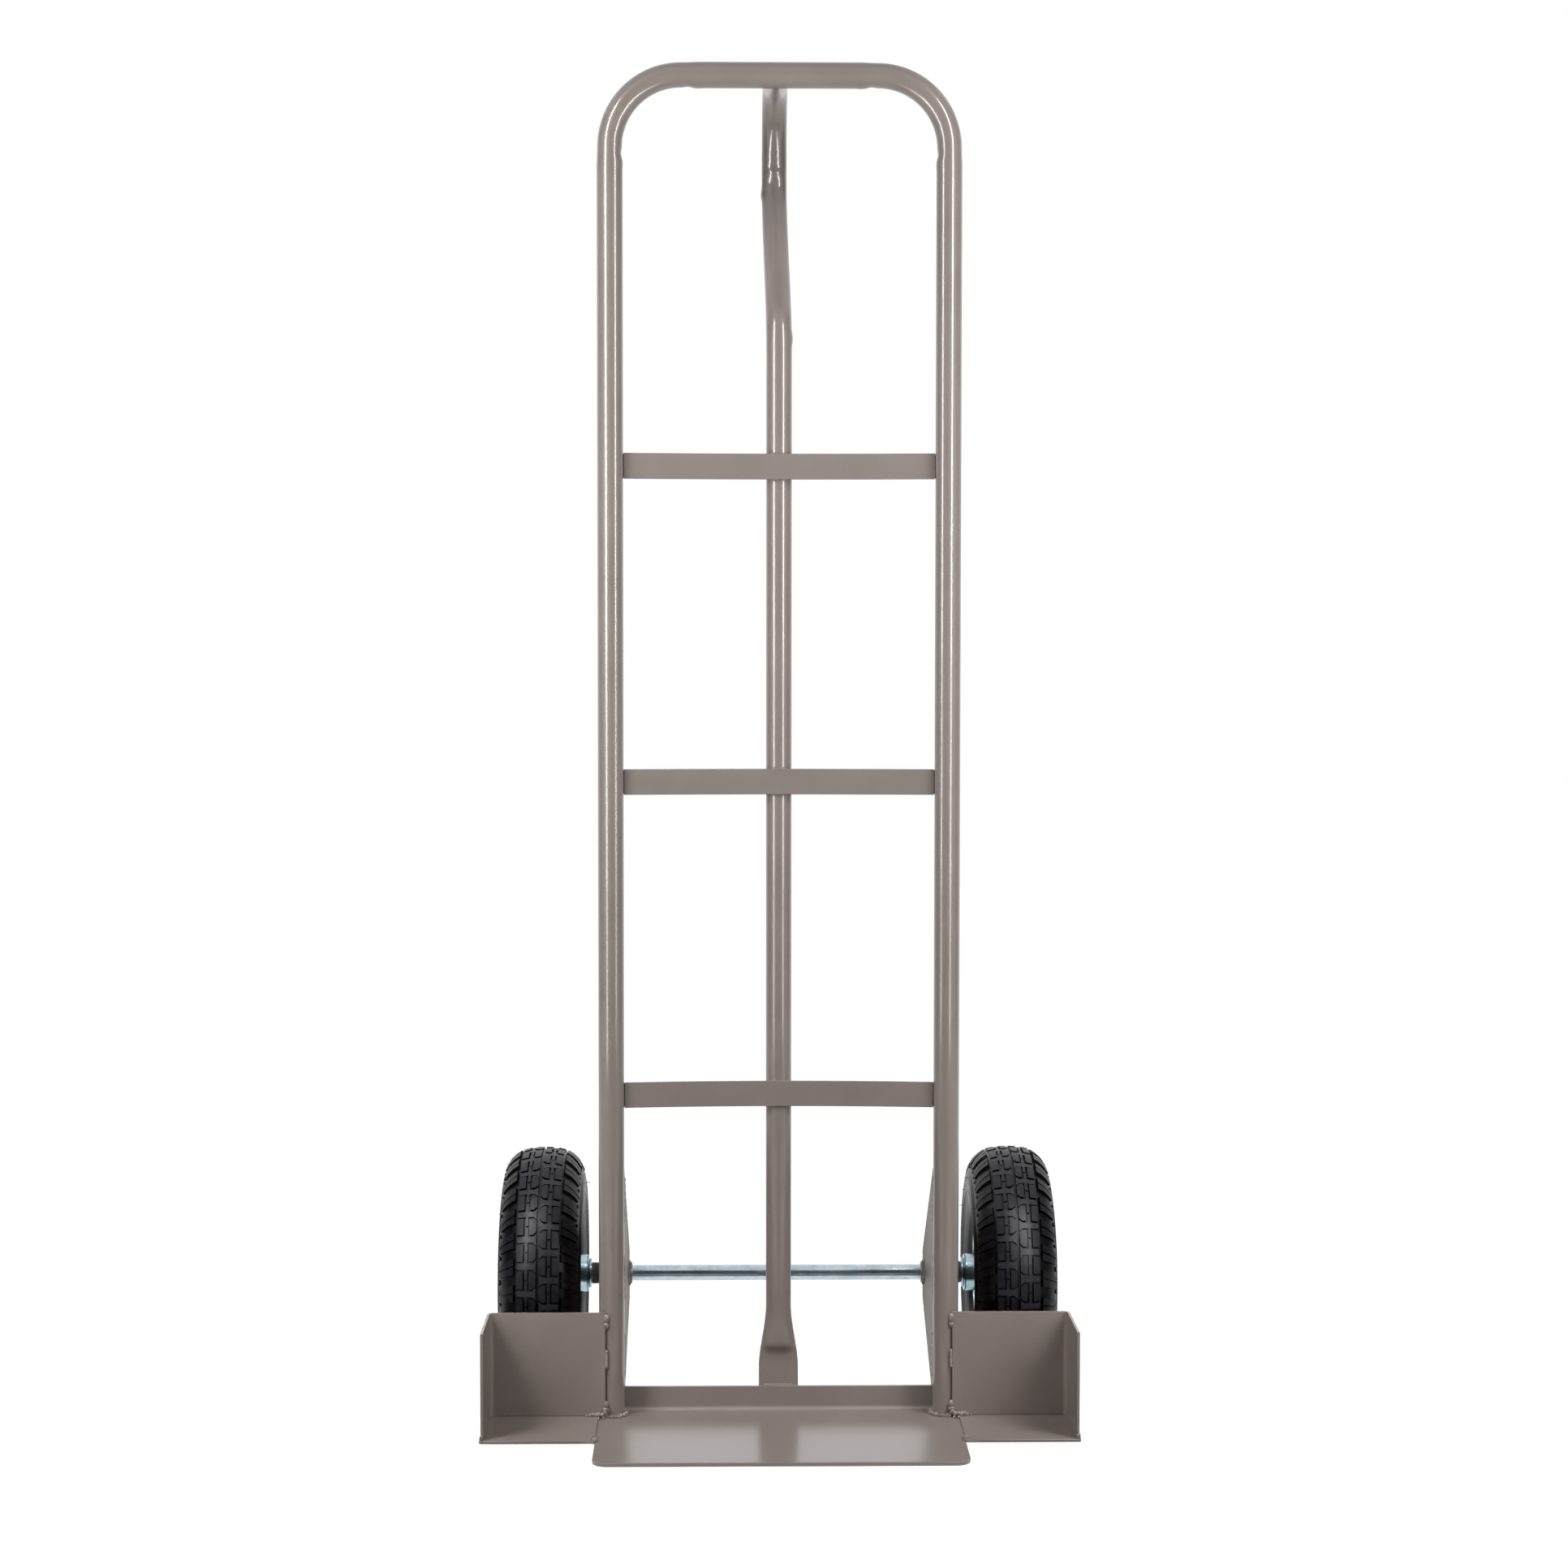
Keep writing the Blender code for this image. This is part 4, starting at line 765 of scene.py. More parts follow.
def onCarcass(distance, lift):
    # x and radius at a distance from the crown along the skin, lifted square to it
    distance = min(max(distance, 0.0), carcassReach[-1])
    i = next(k for k, reach in enumerate(carcassReach) if k and reach >= distance - 1e-12)
    share = (distance - carcassReach[i - 1]) / (carcassReach[i] - carcassReach[i - 1])
    (x0, r0), (x1, r1) = carcassLine[i - 1], carcassLine[i]
    low, high = carcassLine[max(i - 4, 0)], carcassLine[min(i + 3, len(carcassLine) - 1)]
    along = Vector((high[0] - low[0], high[1] - low[1])).normalized()
    return (x0 + (x1 - x0) * share - along.y * lift, r0 + (r1 - r0) * share + along.x * lift)


def aroundWheel(x, radius, run):
    # run is the length round the tread, at the wheel's full radius
    angle = run / truck["wheelRadius"]
    return (x, radius * math.sin(angle), -radius * math.cos(angle))


def cutLines(breaks, extra):
    # A drafted wall needs a line at its foot and one at its top
    half = tyre["draft"] / 2
    return sorted([b - half for b in breaks] + [b + half for b in breaks] + list(extra))


def addBlockRow(bm, side, phase):
    # One ring of blocks with its cuts, closed underneath inside the carcass
    half, cut, draft = tyre["block"] / 2, tyre["cut"], tyre["draft"]
    pitch, rib, tick, chamfer = treadPitch, tyre["rib"], tyre["tick"], tyre["chamfer"]
    paintedLightLayer = bm.faces.layers.float["tread"]
    runs = cutLines((-half, -tick, tick, half, half + cut, pitch - half - cut),
                    (-half / 2, half / 2, (pitch + cut) / 2))
    lines = cutLines((0, *rib, tyre["row"]),
                     (chamfer, (chamfer + rib[0]) / 2, (rib[3] + tyre["row"]) / 2))

    def zone(run, line):
        # Which part of the tread lies here, and how high it stands
        if line < 0 or line > tyre["row"]:
            return "groove", -tyre["rowRoot"]
        inRib = rib[1] < line < rib[2]
        if -half < run < half:
            beside = rib[0] < line < rib[3] and not inRib
            if beside or (inRib and -tick < run < tick):
                return "groove", tyre["grooveFloor"]
            return ("rib", tyre["tread"] - tyre["ribDrop"]) if inRib else ("block", tyre["tread"])
        if half + cut < run < pitch - half - cut:
            return "tie", tyre["tread"] - tyre["tieDrop"]
        if inRib:
            return "rib", tyre["tread"] - tyre["ribDrop"]
        return "groove", tyre["grooveFloor"]

    rings = []
    for line in lines:
        ring = []
        inward = max(0.0, chamfer - max(line, 0))
        for k in range(tyre["pitches"]):
            for run in runs:
                shift = 0.0
                if half / 2 < run < half + cut + draft:
                    shift = -inward
                elif -half - draft < run < -half / 2 or run > pitch - half - cut - draft:
                    shift = inward
                x, radius = onCarcass(tyre["rowStart"] + line, zone(run, line)[1])
                ring.append(aroundWheel(x * side, radius, (k + phase) * pitch + run + shift))
        rings.append(ring)
    grid = [[bm.verts.new(point) for point in ring] for ring in rings]
    for j, (first, second) in enumerate(zip(grid, grid[1:] + grid[:1])):
        for i in range(len(first)):
            face = bm.faces.new((first[i - 1], first[i], second[i], second[i - 1]))
            around = [zone(runs[(i - back) % len(runs)], lines[(j + on) % len(lines)])
                      for back in (0, 1) for on in (0, 1)]
            lowest = min(around, key=lambda part: part[1])
            # painted light: each face takes the tone of its lowest neighbour, so grooves get
            # painted shade and raised faces painted highlight
            face[paintedLightLayer] = tyre["paintedLightTones"][lowest[0]]


def addShoulderLug(bm, side, middle, draw):
    # A slanted bar over the shoulder, split by one cut, its foot inside the carcass
    paintedLightLayer = bm.faces.layers.float["tread"]
    length, halfCut, wide = lug["long"] / 2, lug["halfCut"], lug["wide"]
    runs = [-length - 0.5 * mm, -length, -halfCut, -halfCut + 0.15 * mm, halfCut - 0.15 * mm,
            halfCut, length, length + 0.5 * mm]
    lines = [-0.5 * mm, 0, wide * 0.3, wide * 0.62, wide, wide + 0.8 * mm]
    top, foot = [], []
    for line in lines:
        rise = tyre["tread"] * (1 - lug["fall"] * max(line, 0) / wide)
        top.append([])
        foot.append([])
        for n, run in enumerate(runs):
            lift = lug["cutFloor"] if n in (3, 4) else rise
            if n in (0, len(runs) - 1) or line < 0 or line > wide:
                lift = -lug["skirt"]
            where = middle + run * (1 - lug["taper"] * line / wide) + lug["slant"] * line + draw
            for row, high in ((top, lift), (foot, -lug["root"])):
                x, radius = onCarcass(lug["start"] + line, high)
                row[-1].append(bm.verts.new(aroundWheel(x * side, radius, where)))
    for j in range(len(lines) - 1):
        for i in range(len(runs) - 1):
            face = bm.faces.new((top[j][i], top[j][i + 1], top[j + 1][i + 1], top[j + 1][i]))
            # painted highlight on the lug's top faces
            if 0 < i < len(runs) - 2 and i != 3 and 0 < j < len(lines) - 2:
                face[paintedLightLayer] = tyre["paintedLightTones"]["lug"]
            bm.faces.new((foot[j][i + 1], foot[j][i], foot[j + 1][i], foot[j + 1][i + 1]))
    rims = [[grid[0], [line[-1] for line in grid], grid[-1][::-1],
             [line[0] for line in grid][::-1]] for grid in (top, foot)]
    for upper, lower in zip(*rims):
        for i in range(len(upper) - 1):
            bm.faces.new((upper[i], lower[i], lower[i + 1], upper[i + 1]))


def addSmallLugs(bm, draws):
    # Diamond nubs of uneven size in the dark band beside the block rows
    paintedLightLayer = bm.faces.layers.float["tread"]
    for flank in (-1, 1):
        for k in range(tyre["pitches"] * 2):
            line = lug["start"] + lug["wide"] + draws.uniform(*nub["away"]) * mm
            run = (k + 0.25) * treadPitch / 2 + draws.uniform(-nub["drift"], nub["drift"]) * mm
            long, wide = draws.uniform(*nub["long"]) * mm, draws.uniform(*nub["wide"]) * mm
            rings = []
            for share, lift in nub["rings"]:
                ring = []
                for du, dv in ((1, 0), (0, 1), (-1, 0), (0, -1)):
                    x, radius = onCarcass(line + dv * wide * share, lift * mm)
                    ring.append(aroundWheel(x * flank, radius, run + du * long * share))
                rings.append(ring)
            # painted highlight on the nub's top
            for face in loft(bm, rings)[-1][0].link_faces:
                face[paintedLightLayer] = tyre["paintedLightTones"]["lug"]


def carcassOutline():
    # One half of the closed section: skin with its fine sidewall ribs, bead, and the hollow
    skin = [(distance, 0.0) for distance in spaced(0, carcassReach[-1], 1.0 * mm)]
    for at, high in tyre["sidewallRibs"]:
        skin = [(d, h) for d, h in skin if abs(d - at * mm) > 0.75 * mm]
        skin += [((at + offset) * mm, lift * high * mm)
                 for offset, lift in ((-0.7, 0), (-0.3, 0.8), (0, 1), (0.3, 0.8), (0.7, 0))]
    half = [onCarcass(distance, lift) for distance, lift in sorted(skin)]
    outer, inner, top = tyre["beadOuter"], tyre["beadInner"], tyre["beadTop"]
    half += [(outer + 0.5 * mm, top + 0.8 * mm), (outer, top - 0.4 * mm),
             (outer, tyre["beadRadius"]), (inner, tyre["beadRadius"]), (inner, top)]
    for i in range(12):
        x, radius = carcassPoint(math.radians(tyre["hollowEnd"]) * (1 - i / 12))
        pull = Vector((-x, tyre["middle"] - radius)).normalized() * tyre["cavityWall"]
        half.append((max(x + pull.x, 0.0), radius + pull.y))
    crownInside = (0.0, tyre["middle"] + tyre["crown"] - tyre["cavityWall"])
    return half[1:], half[0], crownInside


def addVentHairs(bm, seed):
    # The thin rubber hairs that the mould's vents leave on the shoulders and sidewalls
    draws = random.Random(seed)
    root = 0.4 * mm
    for i in range(hair["count"]):
        flank = draws.choice((-1, 1))
        distance = draws.uniform(*hair["place"]) * mm
        run = draws.uniform(*hair["run"]) * mm
        length = draws.uniform(*hair["long"]) * mm
        x, radius = onCarcass(distance, root)
        tipX, tipR = onCarcass(distance, root + length)
        start = Vector(aroundWheel(x * flank, radius, run))
        tipRun = run + draws.uniform(-hair["lean"], hair["lean"]) * mm
        end = Vector(aroundWheel(tipX * flank, tipR, tipRun))
        along = (end - start).normalized()
        square = along.orthogonal().normalized()
        other = along.cross(square)
        bow = square * draws.uniform(-hair["bow"], hair["bow"]) * mm
        rings = []
        for share, size in hair["rings"]:
            middle = start.lerp(end, share) + bow * math.sin(share * math.pi)
            rings.append([middle + square * u + other * v for u, v in roundSection(size * mm, 6)])
        loft(bm, rings)


def makeTyre(name, side, seed):
    bm = bmesh.new()
    half, crownOutside, crownInside = carcassOutline()
    outline = [crownOutside] + half + [crownInside] + [(-x, r) for x, r in half[::-1]]
    turned(bm, outline, 180)
    paintedLightLayer = bm.faces.layers.float.new("tread")
    # painted light: the skin away from the crown gets a faint tone, while the crown's skin stays
    # black
    for face in bm.faces:
        onSkin = abs(face.calc_center_median().x) > tyre["skinFrom"]
        face[paintedLightLayer] = tyre["paintedLightTones"]["skin"] * onSkin
    addBlockRow(bm, -1, 0.0)
    addBlockRow(bm, 1, 0.5)
    draws = random.Random(seed)
    for k in range(tyre["pitches"]):
        for flank, phase in ((-1, 0.5), (1, 0.0)):
            drift = draws.uniform(-lug["drift"], lug["drift"]) * mm
            addShoulderLug(bm, flank, (k + phase) * treadPitch, drift)
    addSmallLugs(bm, draws)
    addVentHairs(bm, seed)
    addPiece(name + "TyreWithTread", bm, tyreRubber, [name + "_tyre"], **onWheel(name, side))


# Rims: two pressed halves back to back, held by four bolts
rim = {"sheet": 1.8 * mm, "disc": 1.05 * mm, "hole": 19.78 * mm, "discRadius": 40 * mm,
       "dish": 9 * mm, "seat": 49.32 * mm, "flangeX": 27.9 * mm, "flangeTop": 58.8 * mm,
       "curl": 4 * mm, "bend": 2.6 * mm}
bolt = {"circle": 29 * mm, "across": 13 * mm, "shank": 4 * mm, "thread": 3.6 * mm,
        "head": 5.3 * mm, "nut": 6.5 * mm, "pitch": 0.6 * mm, "threads": 3}


def roundedPath(points, radius, steps):
    # Each inner corner of a path turned into a short curve
    path = [Vector(points[0])]
    for before, corner, after in zip(points, points[1:], points[2:]):
        before, corner, after = Vector(before), Vector(corner), Vector(after)
        reach = min(radius, (before - corner).length * 0.45, (after - corner).length * 0.45)
        start = corner + (before - corner).normalized() * reach
        end = corner + (after - corner).normalized() * reach
        for i in range(steps + 1):
            t = i / steps
            path.append(start * (1 - t) ** 2 + corner * 2 * t * (1 - t) + end * t ** 2)
    return path + [Vector(points[-1])]


def makeRim(name, side):
    path = [(rim["disc"], rim["hole"]), (rim["disc"], rim["discRadius"]),
            (rim["dish"], rim["seat"]), (rim["flangeX"], rim["seat"]),
            (rim["flangeX"], rim["flangeTop"] - 0.9 * mm),
            (rim["flangeX"] + rim["curl"], rim["flangeTop"])]
    outline = sheetOutline(roundedPath(path, rim["bend"], 6), rim["sheet"])
    for where, facing in (("Inboard", -side), ("Outboard", side)):
        spin(f"{name}Rim{where}Half", outline, facing, 96, zincPressing,
             f"{name}_rim_{where.lower()}_half", **onWheel(name, side))
    for index in range(4):
        makeRimBolt(name, side, index)


def makeRimBolt(name, side, index):
    # Hexagon head outboard, nut and a little thread inboard
    turn = math.tau * (index + 0.5) / 4
    face = rim["disc"] + rim["sheet"] / 2 + truck["gap"]
    sixth = math.pi / 3
    corner = bolt["across"] / 2 / math.cos(sixth / 2)

    def hexRing(x, chamfered=False):
        # A hexagon, its corners rounded off where the head or nut is chamfered
        ring = []
        for k in range(48):
            angle = math.tau * k / 48
            size = corner * math.cos(sixth / 2) / math.cos(angle % sixth - sixth / 2)
            size = min(size, corner * 0.93) if chamfered else size
            ring.append((x * side, size * math.sin(angle), -size * math.cos(angle)))
        return ring

    def circle(x, radius):
        return [(x * side, v, -u) for u, v in roundSection(radius, 48)]

    head, nut, shank = face + bolt["head"], -face - bolt["nut"], bolt["shank"]
    stack = [circle(head, corner * 0.80), hexRing(head - 0.7 * mm, True),
             hexRing(head - 1.3 * mm), hexRing(face), circle(face, shank),
             circle(-face, shank), hexRing(-face), hexRing(nut + 1.1 * mm),
             hexRing(nut + 0.5 * mm, True), circle(nut, corner * 0.80), circle(nut, shank)]
    for i in range(bolt["threads"]):
        root = nut - 0.2 * mm - bolt["pitch"] * i
        stack += [circle(root, bolt["thread"]), circle(root - bolt["pitch"] / 2, shank)]
    bm = bmesh.new()
    loft(bm, stack)
    place = wheelPlace(side) @ Matrix.Translation(
        (0, bolt["circle"] * math.sin(turn), -bolt["circle"] * math.cos(turn)))
    addPiece(f"{name}RimBolt{index + 1}", bm, zincPressing, [f"{name}_rim_bolt_{index + 1}"],
             body=name + "_wheel", place=place)


def makeHub(name, side):
    inner = hub["innerX"] - truck["wheelX"]
    outer = inner + hub["length"]
    seat = hub["flangeThick"] + truck["gap"]
    spin(name + "HubTube",
         roundedCollar(inner + seat, outer - seat, hub["bore"], hub["radius"], 0.5 * mm),
         side, 64, zincPressing, name + "_hub", **onWheel(name, side))
    # Pressed shell with its flange, and the dished seal just inside the face
    bore, bearing = hub["race"] + truck["gap"], hub["bearing"]
    edge = bearing + hub["flangeProud"]
    outline = [(0.9 * mm, bore), (0.9 * mm, bore + 1.6 * mm), (0.2 * mm, bore + 2.6 * mm),
               (0, bore + 3.2 * mm), (0, edge - 0.4 * mm), (0.3 * mm, edge),
               (hub["flangeThick"], edge), (hub["flangeThick"], bearing),
               (hub["bearingWide"], bearing), (hub["bearingWide"], bore)]
    for where, face, inward in (("Inboard", inner, 1), ("Outboard", outer, -1)):
        spin(f"{name}{where}BearingShell", [(face + x * inward, r) for x, r in outline], side, 64,
             zincPressing, f"{name}_{where.lower()}_outer_race", **onWheel(name, side))


# Valve: a brass stem bent outboard under the rim, and its ribbed cap
valve = {"x": 14.5 * mm, "stem": 3.8 * mm, "bend": 7 * mm, "bendZ": 44.52 * mm, "root": 55 * mm,
         "tail": 9 * mm, "capWall": 1 * mm, "capLength": 9 * mm, "capCover": 6 * mm,
         "capRib": 0.3 * mm}


def makeValve(name, side):
    bendX = valve["x"] + valve["bend"]
    endX = bendX + valve["tail"]
    height = valve["bendZ"] - valve["bend"]
    path = [(valve["x"], valve["root"])]
    path += arc((bendX, valve["bendZ"]), valve["bend"], 180, 270, 14) + [(endX, height)]
    points = [Vector((x * side, 0, z)) for x, z in path]
    section = roundSection(valve["stem"], 28)
    bm = bmesh.new()
    loft(bm, tubeRings(points, Vector((0, 1, 0)), lambda i: section))
    addPiece(name + "ValveStem", bm, turnedBrass, [name + "_valve_stem"], **onWheel(name, side))
    bore = valve["stem"] + truck["gap"]
    wide = bore + valve["capWall"]
    mouth = endX - valve["capCover"]
    end = mouth + valve["capLength"]
    rings = []
    for x, radius, ribbed in ((endX + truck["gap"], bore, 0), (mouth, bore, 0),
                              (mouth, bore + 0.7 * mm, 0), (mouth + 0.6 * mm, wide, 0),
                              (mouth + 1.2 * mm, wide, 1), (end - 1.4 * mm, wide, 1),
                              (end - 0.5 * mm, bore + 0.4 * mm, 0), (end, bore - 0.8 * mm, 0)):
        ring = []
        for k in range(72):
            size = radius - (valve["capRib"] if ribbed and k % 4 < 2 else 0.0)
            angle = math.tau * k / 72
            ring.append((x * side, size * math.sin(angle), size * math.cos(angle)))
        rings.append(ring)
    bm = bmesh.new()
    loft(bm, rings)
    addPiece(name + "ValveCap", bm, capPlastic, [name + "_valve_cap"], body=name + "_wheel",
             place=wheelPlace(side) @ Matrix.Translation((0, 0, height)))


for sideName, side in bothSides:
    makeTyre(sideName, side, 11 + side)
    makeRim(sideName, side)
    makeHub(sideName, side)
    makeValve(sideName, side)
    dressNode(sideName + "_inner_tube", butylRubber)
print("wheels made")

# Welds: uneven beads with the ripples that the torch leaves
bead = {"ripple": 1.5 * mm, "sides": 10,
        "slow": 4.7,                # a slower swelling, this many ripples long
        "thinEnd": 0.35}


def weldBead(bm, points, radius, seed, uneven=0.2):
    # A rippled bead along the points, thinning at both ends
    draws = random.Random(seed)
    path = [Vector(points[0])]
    for before, after in zip(points, points[1:]):
        before, after = Vector(before), Vector(after)
        count = max(2, round((after - before).length / (bead["ripple"] / 3)))
        path += [before.lerp(after, i / count) for i in range(1, count + 1)]
    phase = draws.uniform(0, math.tau)
    travel = 0.0
    rings = []
    square = None
    for i, point in enumerate(path):
        if i:
            travel += (point - path[i - 1]).length
        along = (path[min(i + 1, len(path) - 1)] - path[max(i - 1, 0)]).normalized()
        if square and abs(square.dot(along)) < 0.99:
            square = (square - along * square.dot(along)).normalized()
        else:
            square = along.orthogonal().normalized()
        other = along.cross(square)
        ends = min(1.0, bead["thinEnd"] + min(i, len(path) - 1 - i) * 0.22)
        wave = 1 + uneven * math.sin(math.tau * travel / bead["ripple"] + phase)
        slow = math.tau * travel / (bead["ripple"] * bead["slow"])
        wave += uneven * 0.8 * math.sin(slow + 2 * phase)
        rings.append([point + square * u + other * v
                      for u, v in roundSection(radius * wave * ends, bead["sides"])])
    loft(bm, rings)


def addBlob(bm, centre, size, seed):
    # One lump of weld metal or spatter
    draws = random.Random(seed)
    made = bmesh.ops.create_icosphere(bm, subdivisions=2, radius=1.0)
    stretch = [s * draws.uniform(0.85, 1.15) for s in size]
    wobble = [draws.uniform(0, math.tau) for i in range(3)]
    for vert in made["verts"]:
        point = vert.co.copy()
        lumpy = 1 + 0.12 * math.sin(3 * point.x + wobble[0]) * math.cos(4 * point.z + wobble[1])
        vert.co = Vector(centre) + Vector((point.x * stretch[0], point.y * stretch[1],
                                           point.z * stretch[2])) * lumpy


def weldRow(bm, side, points, radius, seed, uneven=0.2):
    # A bead through places in millimetres, mirrored for the left side
    weldBead(bm, [(x * mm * side, y * mm, z * mm) for x, y, z in points], radius * mm, seed,
             uneven)


# Round each rail's foot, all in millimetres
footWeld = {
    "ring": 14.2, "ringZ": 4.8, "ringBead": 2.5,
    # on the wing's lap: (x from the rail's middle, y, z, width, depth, height)
    "lapLumps": ((5.2, -13.0, 103.0, 3.2, 2.3, 5.2), (5.4, -13.1, 96.5, 2.7, 2.1, 3.6),
                 (5.1, -13.2, 17.0, 2.8, 2.3, 3.6), (6.0, -13.6, 11.5, 3.0, 2.4, 3.8)),
    # on the toe plate: (x, y, z, size)
    "lumps": ((170.2, -15.0, 12.6, 2.2), (172.6, -15.6, 9.6, 2.7), (175.6, -16.6, 7.8, 2.8),
              (178.8, -16.8, 8.2, 2.5), (181.6, -16.9, 7.4, 2.8), (184.8, -16.2, 7.9, 2.3),
              (187.6, -16.0, 7.0, 2.1), (191.2, -15.6, 6.6, 1.5), (174.2, -18.6, 5.0, 1.6),
              (178.0, -20.0, 4.6, 1.1)),
    "slit": 4.9,                # from the rail's middle to the slit beside the wing
    "seam": 0.2,                # from the toe plate's side to the seam with the wing's floor
}


def makeFootWelds(name, side):
    bm = bmesh.new()
    railX = truck["railX"] / mm
    ring = arc((railX, 0), footWeld["ring"], -58, -232, 26)
    weldRow(bm, side, [(x, y, footWeld["ringZ"]) for x, y in ring], footWeld["ringBead"],
            3 + side, 0.26)
    # wing plate to rail: lumps at the top and the bottom, then the bead on the toe plate
    for n, (x, y, z, *size) in enumerate(footWeld["lapLumps"]):
        addBlob(bm, ((railX + x) * mm * side, y * mm, z * mm), [s * mm for s in size],
                20 + n + side)
    for n, (x, y, z, size) in enumerate(footWeld["lumps"]):
        addBlob(bm, (x * mm * side, y * mm, z * mm), (size * mm, size * 0.8 * mm, size * 0.9 * mm),
                31 + n + side)
    slitX = railX + footWeld["slit"]
    weldRow(bm, side, [(slitX, -13.1, z) for z in (53, 60, 66, 72)], 1.7, 37 + side, 0.1)
    # the seam's bead at the front, and where it is welded through from below
    seamX = toePlate["halfWidth"] / mm + footWeld["seam"]
    weldRow(bm, side, [(seamX, y, 5.0) for y in (-105, -100, -95)], 2.4, 41 + side, 0.34)
    weldRow(bm, side, [(seamX, y, 3.1) for y in (-103, -80, -55, -16)], 1.0, 43 + side, 0.12)
    addPiece(name + "FootAndWingWelds", bm, weldCoat)


# The wing's seams, in millimetres, and the spatter beside them
wingWeld = {"z": 6.2, "bead": 1.2, "backZ": 6.1, "backBead": 1.4, "backFrom": (196, 238, 268),
            "spatter": 16, "spatterSize": (0.35, 0.85), "spread": (188, 282), "close": (236, 262)}


def makeWingWelds(name, side):
    bm = bmesh.new()
    corner = ((wing["span"] - 0.9 * mm) * side, wing["frontY"] + 0.4 * mm, 8.0 * mm)
    addBlob(bm, corner, (1.9 * mm, 2.1 * mm, 3.4 * mm), 51 + side)
    # outside of the fold and behind the back plate, where the seam is welded through
    outX = wing["span"] / mm - 0.3
    for n, row in enumerate(((-96, -84, -74), (-40, -30, -22))):
        weldRow(bm, side, [(outX, y, wingWeld["z"]) for y in row], wingWeld["bead"], 53 + n + side)
    backY = (wing["backY"] + wing["thick"] / 2) / mm
    for n, low in enumerate(wingWeld["backFrom"]):
        weldRow(bm, side, [(low + d, backY, wingWeld["backZ"]) for d in (0, 8, 15)],
                wingWeld["backBead"], 56 + n + side)
    draws = random.Random(60 + side)
    half = wingWeld["spatter"] / 2
    for n in range(wingWeld["spatter"]):
        x = draws.uniform(*wingWeld["spread" if n < half else "close"]) * mm * side
        size = draws.uniform(*wingWeld["spatterSize"]) * mm
        if n % 2:
            spot = (x, wing["backY"] - wing["thick"] / 2, draws.uniform(7, 16) * mm)
        else:
            spot = (x, draws.uniform(-40, -16) * mm, wing["floorTop"])
        addBlob(bm, spot, (size, size, size), 70 + n)
    addPiece(name + "WingSeamWelds", bm, weldCoat)


# Up both faces of each gusset, and round its sleeve
gussetWeld = {"from": (40, 118, 196), "steps": (0, 16, 32, 46), "bead": 1.5, "sleeve": 11.4,
              "sleeveBead": 1.7, "innerY": 9.4, "footY": 21.6}


def makeGussetWelds(name, side):
    bm = bmesh.new()
    tube = truck["tube"] / mm
    for n, x in enumerate((gusset["innerX"] / mm, (gusset["innerX"] + gusset["thick"]) / mm)):
        reach = truck["railX"] / mm - x
        y = gussetWeld["innerY"]
        if abs(reach) < tube:
            y = math.sqrt(tube ** 2 - reach ** 2) + 0.3
        for m, low in enumerate(gussetWeld["from"]):
            weldRow(bm, side, [(x, y, low + d) for d in gussetWeld["steps"]], gussetWeld["bead"],
                    80 + 4 * n + m + side)
        circle = arc((truck["axleBack"] / mm, truck["axleHeight"] / mm), gussetWeld["sleeve"],
                     20, 340, 36)
        weldRow(bm, side, [(x, *point) for point in circle], gussetWeld["sleeveBead"],
                90 + n + side)
    weldRow(bm, side, [(gusset["innerX"] / mm, gussetWeld["footY"], z) for z in (24.5, 26, 27.4)],
            1.3, 96 + side)
    addPiece(name + "GussetWelds", bm, weldCoat)


def makeStrapWelds():
    # Each strap's ends to the rails, and its edges to the centre tube
    bm = bmesh.new()
    railX = (truck["railX"] - truck["tube"]) / mm - 0.2
    for level in range(3):
        z = (strap["lowest"] + strap["spacing"] * level) / mm
        edge = strap["height"] / 2 / mm
        for side in (-1, 1):
            weldRow(bm, side, [(railX, 1.9, z + d) for d in (-11.5, -4, 4, 11.5)], 1.5,
                    100 + level + side)
            for away, seed in ((-edge, 110), (edge, 120)):
                weldRow(bm, 1, [(5.2 * side + d, 12.4, z + away) for d in (-2.6, 0, 2.6)], 1.1,
                        seed + level + side)
    addPiece("strapWelds", bm, weldCoat)


handleWeld = {"half": 12.9, "rise": 11.2, "bead": 1.2, "footY": 21.9, "footBead": 1.4}


def makeHandleWeld():
    # Round the cope, where the handle meets the top bar
    bm = bmesh.new()
    reach = truck["tube"] / mm + 0.2
    points = []
    for k in range(49):
        angle = math.tau * k / 48
        lift = math.sin(angle) * handleWeld["rise"]
        points.append((centreTube["lean"] / mm + math.cos(angle) * handleWeld["half"],
                       math.sqrt(reach ** 2 - lift ** 2) + 0.4, truck["topBar"] / mm + lift))
    weldRow(bm, 1, points, handleWeld["bead"], 131)
    # behind the flange, down both edges of the crushed end and over its top
    for n, side in enumerate((-1, 1)):
        edge = centreTube["flatHalfWidth"] / mm
        weldRow(bm, side, [(edge, handleWeld["footY"], z) for z in (9, 14, 20, 25)],
                handleWeld["footBead"], 133 + n)
    weldRow(bm, 1, [(x, 21.4, 27.9) for x in (-15, -5, 5, 15)], 1.2, 137)
    addPiece("handleAndFootWelds", bm, weldCoat)


for sideName, side in bothSides:
    makeFootWelds(sideName, side)
    makeWingWelds(sideName, side)
    makeGussetWelds(sideName, side)
makeStrapWelds()
makeHandleWeld()
print("welds made")

